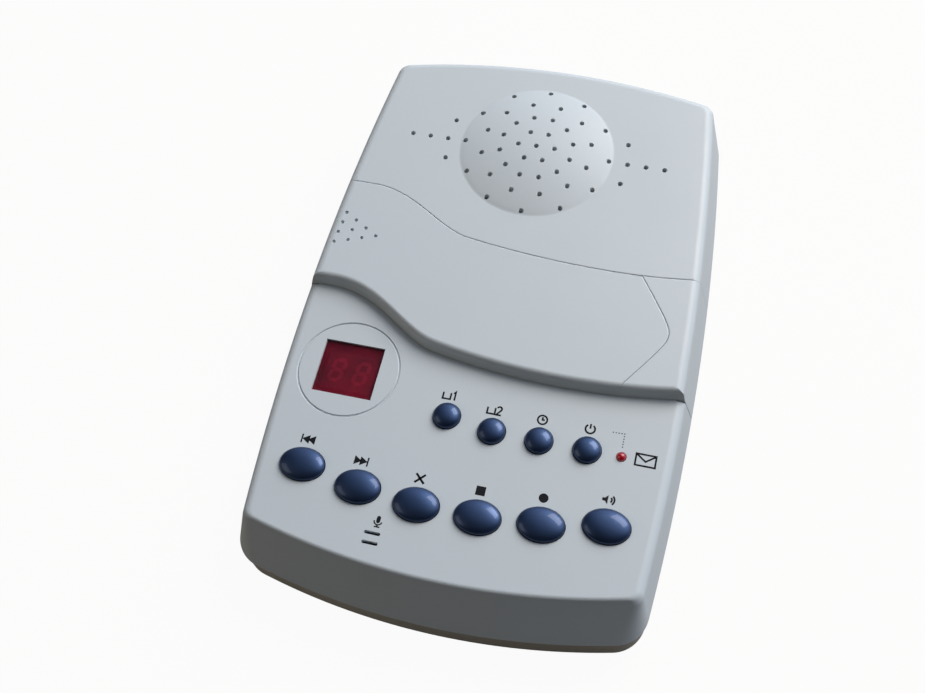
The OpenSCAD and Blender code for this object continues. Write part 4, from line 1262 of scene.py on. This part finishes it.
@dataclass
class Buttons(OnPanel):
    """Domed buttons, each with a flange under the panel and a stem on the key mat."""

    height: float = 2.6
    straight: float = 0.45
    flange: float = 1.0
    flange_out: float = 1.2
    stem: float = 2.6
    crown: float = 0.92
    mat_top: float = 20.9

    def profile(self, half: float) -> Array:
        """Half length and height of each ring, from the stem to the crown.

        The crown is (half (cos a)^crown, shoulder + rise sin a): an ellipse if crown is 1, and
        squarer if it is less.

        Args:
            half: Half the button's length.

        Returns:
            One row of half length and height for each ring.
        """
        under = SHAPE.under_panel - 0.1
        a = quarter(28)
        shoulder = SHAPE.panel + self.straight
        rise = (self.height - self.straight) * np.sin(a)
        dome = np.column_stack([half * np.cos(a) ** self.crown, shoulder + rise])
        stem, rim, low = self.stem, half + self.flange_out, under - self.flange
        foot = [[stem, self.mat_top], [stem, low], [rim, low], [rim, under], [half, under]]
        return np.concatenate([foot, dome])

    def build(self) -> None:
        """Makes the six large and four small buttons."""
        length, width = self.panel.large
        names = ["repeat", "skip", "erase", "stop", "memo", "greeting"]
        for name, place in zip(names, self.panel.large_plan()):
            skin = turned(self.profile(length / 2), 96, width / length)
            self.finish(name + "_button", copies(skin, [place]))
        names = ["mailbox_1", "mailbox_2", "time", "power"]
        for name, place in zip(names, self.panel.small_plan):
            skin = turned(self.profile(self.panel.small / 2), 96)
            self.finish(name + "_button", copies(skin, [place]))

    def finish(self, name: str, form: Form) -> None:
        """Finishes one button on its own body."""
        finish_piece(name + "_cap", form, KEY_ABS, name, [name], "button_blue", crease=40)


@dataclass
class Display(OnPanel):
    """The digit pair and the red filter over it.

    The case is its length, width, underside and top, and the plate is its underside and thickness.
    """

    case: tuple[float, float, float, float] = (17.2, 14.0, 18.0, 25.0)
    digit: tuple[float, float] = (5.0, 8.9)
    digit_pitch: float = 8.2
    stroke: float = 1.4
    slant: float = 8.0
    plate: tuple[float, float] = (25.2, 1.15)

    def bar(self, length: float) -> Array:
        """Plan outline of a bar along X, with pointed ends."""
        end, half = length / 2, self.stroke / 2
        upper = np.array([[end - 0.15, 0], [end - half, half], [half - end, half]])
        return np.concatenate([-upper, upper])

    def strokes(self) -> list[Array]:
        """Plan outlines of one digit's seven bars."""
        w, h = self.digit[0] - self.stroke, self.digit[1] - self.stroke
        bars = [self.bar(w) + [0, y] for y in (-h / 2, 0, h / 2)]
        upright = self.bar(h / 2) @ [[0, 1], [-1, 0]]
        return bars + [upright + [x, y] for x in (-w / 2, w / 2) for y in (-h / 4, h / 4)]

    def build(self) -> None:
        """Makes the case, the bars and the filter."""
        (x, y), (w, d, low, high) = self.panel.window_plan, self.case
        corner = 0.4
        plan = rectangle(w, d)
        body = Form(prism(plan, low, high - corner).at([x, y, 0]))
        body.unite(Form(prism(0.97 * plan, high - corner, high - 0.05).at([x, y, -0.01])))
        named = {"replaces": ["display_module"], "slot": "display_case"}
        finish_piece("digit_case", body, DIGIT_CASE, **named)
        slant = [[1, 0], [np.tan(np.radians(self.slant)), 1]]
        bars = [
            prism(bar @ slant + [x + side * self.digit_pitch, y], high - 0.2, high + 0.05)
            for side in (-0.5, 0.5)
            for bar in self.strokes()
        ]
        finish_piece("digit_bars", Form(*bars), SEGMENT, slot="display_case")
        w, (z, thick), e = self.panel.window[0] + 1.6, self.plate, 0.15
        square = rectangle(w, self.panel.window[1] + 1.6)
        plans = np.stack([square, square, square * (1 - 2 * e / w)])
        plate = Form(loft(lifted(plans, np.array([z, z + thick - e, z + thick]))).at([x, y, 0]))
        named = {"replaces": ["display_window"], "slot": "red_filter"}
        finish_piece("filter_plate", plate, FILTER, **named, crease=20)


@dataclass
class Lamp(OnPanel):
    """The message lamp: an epoxy lens with a rim, on a thin stem up from the board."""

    board: float = 18.0
    dome_centre: float = 27.0

    def build(self) -> None:
        """Makes the lamp."""
        r, z = self.panel.lamp / 2, self.board
        a = quarter(14)
        dome = np.column_stack([r * np.cos(a), self.dome_centre + r * np.sin(a)])
        base = [[0.6, z], [0.6, z + 3], [r + 0.4, z + 3], [r + 0.4, z + 4], [r, z + 4]]
        form = copies(turned(np.concatenate([base, dome]), 48), [self.panel.lamp_plan])
        named = {"replaces": ["message_lamp"], "slot": "red_lens"}
        finish_piece("lamp_lens", form, LENS, **named, crease=40)


# ---------- Printed marks ----------


@dataclass
class Marks(OnPanel):
    """Plain digits and transport signs printed behind each button, in millimetres.

    Every sign is a set of strokes: a stroke is a plan path with a width, and a solid is a filled
    outline. Signs are about as tall as small type, and are only an ink film thick.
    """

    film: float = 0.03
    height: float = 3.0
    line: float = 0.58
    dot: float = 0.21
    dot_pitch: float = 0.85
    mailbox_shift: float = 1.2
    note_plan: tuple[float, float] = (56.2, -41.4)
    voice_shift: tuple[float, float] = (0.8, 5.7)
    large_shift: tuple[float, float] = (-0.9, 8.5)
    small_shift: tuple[float, float] = (-0.3, 7.2)
    leader: tuple = ((44.9, -34.1), (48.5, -34.0), (48.5, -39.3))

    def stroke(self, path: Sequence, closed: bool = False, width: Optional[float] = None) -> Skin:
        """A path drawn with a width: each side is the path moved along its mitred normal."""
        path = np.asarray(path, float)
        half = (self.line if width is None else width) / 2
        if closed:
            before, after = np.roll(path, 1, 0), np.roll(path, -1, 0)
        else:
            before = np.vstack([2 * path[0] - path[1], path[:-1]])
            after = np.vstack([path[1:], 2 * path[-1] - path[-2]])
        arriving, leaving = unit(path - before), unit(after - path)
        normal = unit(left_of(arriving + leaving))
        mitre = half / np.maximum(np.abs((normal * left_of(leaving)).sum(1)), 0.4)
        inner, outer = path + normal * mitre[:, None], path - normal * mitre[:, None]
        low, high = np.full((len(path), 1), 0.0), np.full((len(path), 1), self.film)
        section = ((inner, high), (outer, high), (outer, low), (inner, low))
        rings = np.stack([np.hstack(corner) for corner in section], 1)
        return tube(rings) if closed else loft(rings)

    def solid(self, plan: Sequence) -> Skin:
        """A filled outline."""
        return prism(np.asarray(plan, float), 0.0, self.film)

    def ring(self, radius: float, start: float = 0.0, stop: float = 360.0) -> Skin:
        """A circle, or part of one, drawn as a line."""
        whole = stop - start >= 360
        angle = np.radians(np.linspace(start, stop, 40, endpoint=not whole))
        return self.stroke(radius * circle(angle), whole)

    def triangle(self, x: float, way: int) -> Skin:
        """A filled triangle that points along X, anticlockwise."""
        h = self.height / 2
        plan = np.array([[x - way * h * 0.8, -h], [x + way * h * 0.8, 0], [x - way * h * 0.8, h]])
        return self.solid(plan if way > 0 else plan[::-1])

    def bar(self, x: float, width: float = 0.5) -> Skin:
        """A filled upright bar."""
        return self.solid(rectangle(width, self.height) + [x, 0])

    def digit(self, value: int) -> list[Skin]:
        """A plain 1 or 2, drawn with lines."""
        h = self.height / 2
        if value == 1:
            return [self.stroke([[-0.45, h * 0.55], [0.1, h], [0.1, -h]])]
        a = np.radians(np.linspace(165, -40, 14))
        bowl = np.stack([0.72 * np.cos(a), h - 0.72 + 0.72 * np.sin(a)], -1)
        return [self.stroke(np.concatenate([bowl, [[-0.75, -h + 0.16], [0.8, -h + 0.16]]]))]

    def tray(self) -> Skin:
        """A small in-tray: a box outline open at its top, for a mailbox."""
        h = self.height / 2
        return self.stroke([[-2.6, h * 0.6], [-2.6, -h + 0.2], [-0.1, -h + 0.2], [-0.1, h * 0.6]])

    def signs(self) -> list[tuple[Sequence[float], list[Skin]]]:
        """Each place on the panel with its sign."""
        large = self.panel.large_plan() + self.large_shift
        small = np.array(self.panel.small_plan) + self.small_shift
        h = self.height / 2
        cross = [self.stroke([[-h, -h * way], [h, h * way]], width=0.7) for way in (1, -1)]
        square = self.solid(rectangle(self.height, self.height))
        dot = cylinder(h, 0, self.film, 40)
        clock = [self.ring(h), self.stroke([[0, h * 0.62], [0, 0], [h * 0.5, 0]])]
        switch = [self.ring(h, 125, 415), self.stroke([[0, 0.1], [0, h * 1.15]])]
        note = [
            self.stroke([[-3.1, -1.9], [3.1, -1.9], [3.1, 1.9], [-3.1, 1.9]], True),
            self.stroke([[-3.0, 1.8], [0, -0.4], [3.0, 1.8]]),
        ]
        ends = ((-0.2, np.pi), (0.9, 0))
        capsule = [arc(np.array([0, y]), 0.62, start, start + np.pi, 12) for y, start in ends]
        voice = [
            self.solid(np.concatenate(capsule)),
            self.stroke(arc(np.array([0, -0.1]), 1.25, np.pi, 2 * np.pi + 0.01, 16), width=0.42),
            self.stroke([[0, -1.3], [0, -1.95]], width=0.42),
            self.stroke([[-0.9, -2.0], [0.9, -2.0]], width=0.42),
        ]
        horn = [[-1.9, -0.5], [-1.1, -0.5], [-0.2, -h], [-0.2, h], [-1.1, 0.5], [-1.9, 0.5]]
        speech = [self.solid(horn), self.ring(1.0, -48, 48), self.ring(1.8, -48, 48)]
        skip = [self.triangle(-1.4, 1), self.triangle(0.5, 1), self.bar(1.8)]
        again = [self.bar(-1.8), self.triangle(-0.5, -1), self.triangle(1.4, -1)]
        shift = [self.mailbox_shift, 0, 0]
        mailbox = [[self.tray(), *(skin.at(shift) for skin in self.digit(n))] for n in (1, 2)]
        pairs = [*zip(large, [again, skip, cross, [square], [dot], speech])]
        pairs += [*zip(small, [*mailbox, clock, switch])]
        by_slots = np.array(self.panel.mic_plan) + self.voice_shift
        return pairs + [(self.note_plan, note), (by_slots, voice)]

    def leader_dots(self) -> list[Skin]:
        """A dotted line from the power sign to the lamp."""
        corners = np.array(self.leader)
        runs = [
            np.linspace(a, b, int(np.hypot(*(b - a)) / self.dot_pitch), endpoint=False)
            for a, b in zip(corners, corners[1:])
        ]
        dot = cylinder(self.dot, 0, self.film, 12)
        return [dot.at(rows(np.concatenate(runs)))]

    def build(self) -> None:
        """Makes all the marks as one film on the panel."""
        base = SHAPE.panel - 0.005
        skins = [skin.at([*place, base]) for place, sign in self.signs() for skin in sign]
        skins += [skin.at([0, 0, base]) for skin in self.leader_dots()]
        finish_piece("printed_marks", Form(*skins), INK, slot="black_plastic")


# ---------- Back and side details ----------


@dataclass
class SocketContacts:
    """Gold springs in the two line sockets, four to each."""

    sockets: tuple[float, float] = (-34.0, -15.0)
    width: float = 13.0
    pitch: float = 1.02
    wire: float = 0.25
    floor: float = 6.7
    roof: float = 10.1
    set_back: float = 1.2
    length: float = 8.5
    drop: float = 3.6
    bend: float = 0.62

    def build(self) -> None:
        """Makes the springs: each wire slopes down from the front of the roof into the socket.

        For t from 0 to 1, it runs length t inwards and hangs drop sin(bend pi t) below the roof.
        """
        t = np.linspace(0, 1, 12)
        z = self.floor + self.roof - self.drop * np.sin(t * np.pi * self.bend)
        ring = self.wire * circle(np.linspace(0, 2 * np.pi, 8, endpoint=False))
        ring = np.insert(ring, 1, 0, axis=1)
        skins = []
        for x in self.sockets:
            bow = (abs(x) + self.width / 2) ** 2 / (2 * SHAPE.back_radius)
            y = SHAPE.length / 2 - bow - 2 * self.set_back - self.length * t
            wire = loft(np.column_stack([0 * t, y, z])[:, None] + ring)
            lanes = x + self.pitch * (np.arange(4) - 1.5)
            skins.append(wire.at(rows(np.column_stack([lanes, 0 * lanes]))))
        finish_piece("socket_springs", Form(*skins), GOLD, slot="steel")


@dataclass
class VolumeWheel:
    """The knurled wheel that shows at the left side."""

    openings: Openings = field(default_factory=Openings)
    teeth: int = 36
    notch: float = 0.56
    edge: float = 0.4
    hub: float = 4.0
    shaft: float = 2.5
    pot_top: float = 11.7

    def build(self) -> None:
        """Makes the wheel: r = radius - notch (1 - |cos(teeth a / 2)|), with round rims."""
        x, y, z = self.openings.wheel
        r, t = self.openings.wheel_diameter / 2, self.openings.wheel_width
        a = np.linspace(0, 2 * np.pi, self.teeth * 8, endpoint=False)
        wave = r - self.notch * (1 - np.abs(np.cos(self.teeth * a / 2)))
        e = quarter(5)
        inset, rise = self.edge * (1 - np.sin(e)), self.edge * (1 - np.cos(e))
        heights, shrink = np.append(rise, t - rise[::-1]), np.append(inset, inset[::-1])
        plans = (wave[None] - shrink[:, None])[..., None] * circle(a)
        form = Form(loft(lifted(plans, z + heights)).at([x, y, 0]))
        hub = cylinder(self.hub, self.pot_top + 0.3, z + 0.01, 48)
        shaft = cylinder(self.shaft, self.pot_top - 2.6, z + 0.5, 40)
        form.unite(Form(hub.at([x, y, 0])), Form(shaft.at([x, y, 0])))
        wheel = ("volume_wheel", ["volume_wheel"], "black_plastic")
        finish_piece("volume_knob", form, BLACK_RESIN, *wheel, crease=40)


def dress_frame_nodes() -> None:
    """Gives the frame's own nodes, which stay as they are, their finishes."""
    for finish, names in NODE_FINISHES.items():
        for node in (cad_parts[name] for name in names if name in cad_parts):
            node.data.materials.clear()
            node.data.materials.append(finish.material())
            log.info("%s keeps its shape, in %s", node.name, finish.name)


# ---------- Floor, light and camera ----------


@dataclass
class Studio:
    """A plain pale floor, soft lamps from the back right and the left, and the photo's camera.

    Positions are in metres. The camera's rows are its right, down and forward directions. Each
    lamp is its name, place, size, power and tint.
    """

    right: tuple[float, float, float] = (0.96918, 0.23429, -0.07612)
    down: tuple[float, float, float] = (0.17623, -0.87530, -0.45033)
    forward: tuple[float, float, float] = (-0.17213, 0.42304, -0.88961)
    place: tuple[float, float, float] = (0.05360, -0.16670, 0.34778)
    focal_pixels: float = 1099.3
    frame_pixels: float = 925.0
    sensor: float = 36.0
    near: float = 0.01
    floor_half: float = 6.0
    floor_white: float = 1.08
    paper: tuple[float, float, float, float] = (0.23, 0.21, 0.18, 1.0)
    seen_share: float = 0.88
    glossy_share: float = 0.1
    bright_way: tuple[float, float, float] = (0.45, 0.85, 0.25)
    sky_from: float = 0.2
    sky_levels: tuple[float, float] = (0.015, 1.7)
    lamps: tuple = (
        ("back_right_lamp", (0.52, 0.78, 0.8), 0.75, 15.6, "#fff6ea"),
        ("left_lamp", (-1.3, -0.5, 0.9), 1.0, 4.4, "#fff0dc"),
    )

    def camera(self) -> None:
        """Sets the camera: its lens is the focal length in pixels scaled to the sensor."""
        data = bpy.data.cameras.new("camera")
        data.sensor_width = self.sensor
        data.lens = self.focal_pixels / self.frame_pixels * self.sensor
        data.clip_start = self.near
        obj = bpy.data.objects.new("camera", data)
        axes = np.stack([self.right, -np.array(self.down), -np.array(self.forward)], 1)
        matrix = np.eye(4)
        matrix[:3, :3], matrix[:3, 3] = axes, self.place
        obj.matrix_world = Matrix(matrix.tolist())
        bpy.context.scene.collection.objects.link(obj)
        bpy.context.scene.camera = obj

    def floor(self) -> None:
        """A pale floor that the camera sees near white, and that keeps the object's shadow."""
        h = self.floor_half
        mesh = bpy.data.meshes.new("floor")
        mesh.from_pydata([(-h, -h, 0), (h, -h, 0), (h, h, 0), (-h, h, 0)], [], [(0, 1, 2, 3)])
        obj = bpy.data.objects.new("floor", mesh)
        bpy.context.scene.collection.objects.link(obj)
        material = bpy.data.materials.new("floor_paper")
        material.use_nodes = True
        tree = material.node_tree
        tree.nodes.clear()
        paper = add_node(tree, "BsdfDiffuse", sockets={"Color": self.paper})
        white = add_node(tree, "Emission", sockets={"Strength": self.floor_white})
        rays = add_node(tree, "LightPath")

        def math(operation: str, first: object, second: object) -> bpy.types.Node:
            """A Math node of two values, nodes or outputs."""
            return add_node(tree, "Math", {"operation": operation}, {0: first, 1: second})

        seen = math("MULTIPLY", (rays, "Is Camera Ray"), self.seen_share)
        shine = math("MULTIPLY", (rays, "Is Glossy Ray"), self.glossy_share)
        through = math("MAXIMUM", shine, (rays, "Is Transmission Ray"))
        share = math("MAXIMUM", seen, through)
        mix = add_node(tree, "MixShader", sockets={0: share, 1: paper, 2: white})
        add_node(tree, "OutputMaterial", sockets={"Surface": mix})
        mesh.materials.append(material)

    def lamp(self, name: str, place: Sequence[float], size: float, power: float, tint: str) -> None:
        """Adds a square lamp that faces the object."""
        data = bpy.data.lights.new(name, "AREA")
        data.size, data.energy = size, power
        data.color = linear(tint)[:3]
        obj = bpy.data.objects.new(name, data)
        obj.location = place
        obj.visible_camera = False
        obj.rotation_euler = (-Vector(place)).to_track_quat("-Z", "Y").to_euler()
        bpy.context.scene.collection.objects.link(obj)

    def world(self) -> None:
        """White where the camera looks, and elsewhere a sky that is bright towards one way."""
        world = bpy.data.worlds.new("studio")
        bpy.context.scene.world = world
        world.use_nodes = True
        tree = world.node_tree
        tree.nodes.clear()
        where = add_node(tree, "TexCoord")
        sides = {0: (where, "Generated"), 1: self.bright_way}
        toward = add_node(tree, "VectorMath", {"operation": "DOT_PRODUCT"}, sides)
        dark, bright = self.sky_levels
        level = add_node(
            tree,
            "MapRange",
            {"interpolation_type": "SMOOTHSTEP"},
            {
                "Value": (toward, "Value"),
                "From Min": self.sky_from,
                "To Min": dark,
                "To Max": bright,
            },
        )
        sky = add_node(tree, "Background", sockets={"Color": linear("#cfe0fa"), "Strength": level})
        white = add_node(tree, "Background", sockets={"Color": (1, 1, 1, 1), "Strength": 1.0})
        rays = add_node(tree, "LightPath")
        mix = add_node(tree, "MixShader", sockets={0: (rays, "Is Camera Ray"), 1: sky, 2: white})
        add_node(tree, "OutputWorld", sockets={"Surface": mix})

    def build(self) -> None:
        """Sets up the whole studio."""
        self.camera()
        self.floor()
        self.world()
        for settings in self.lamps:
            self.lamp(*settings)
        bpy.context.scene.view_settings.view_transform = "Standard"


def main() -> None:
    """Builds the machine from the outside in, then the studio."""
    logging.basicConfig(level=logging.INFO, format="%(message)s")
    makers = [Tray(), SpeakerCover(), Band(), ControlPanel(), Buttons(), Display(), Lamp(), Marks()]
    makers += [SocketContacts(), VolumeWheel()]
    for maker in makers:
        maker.build()
    dress_frame_nodes()
    Studio().build()


if __name__ == "__main__":
    main()
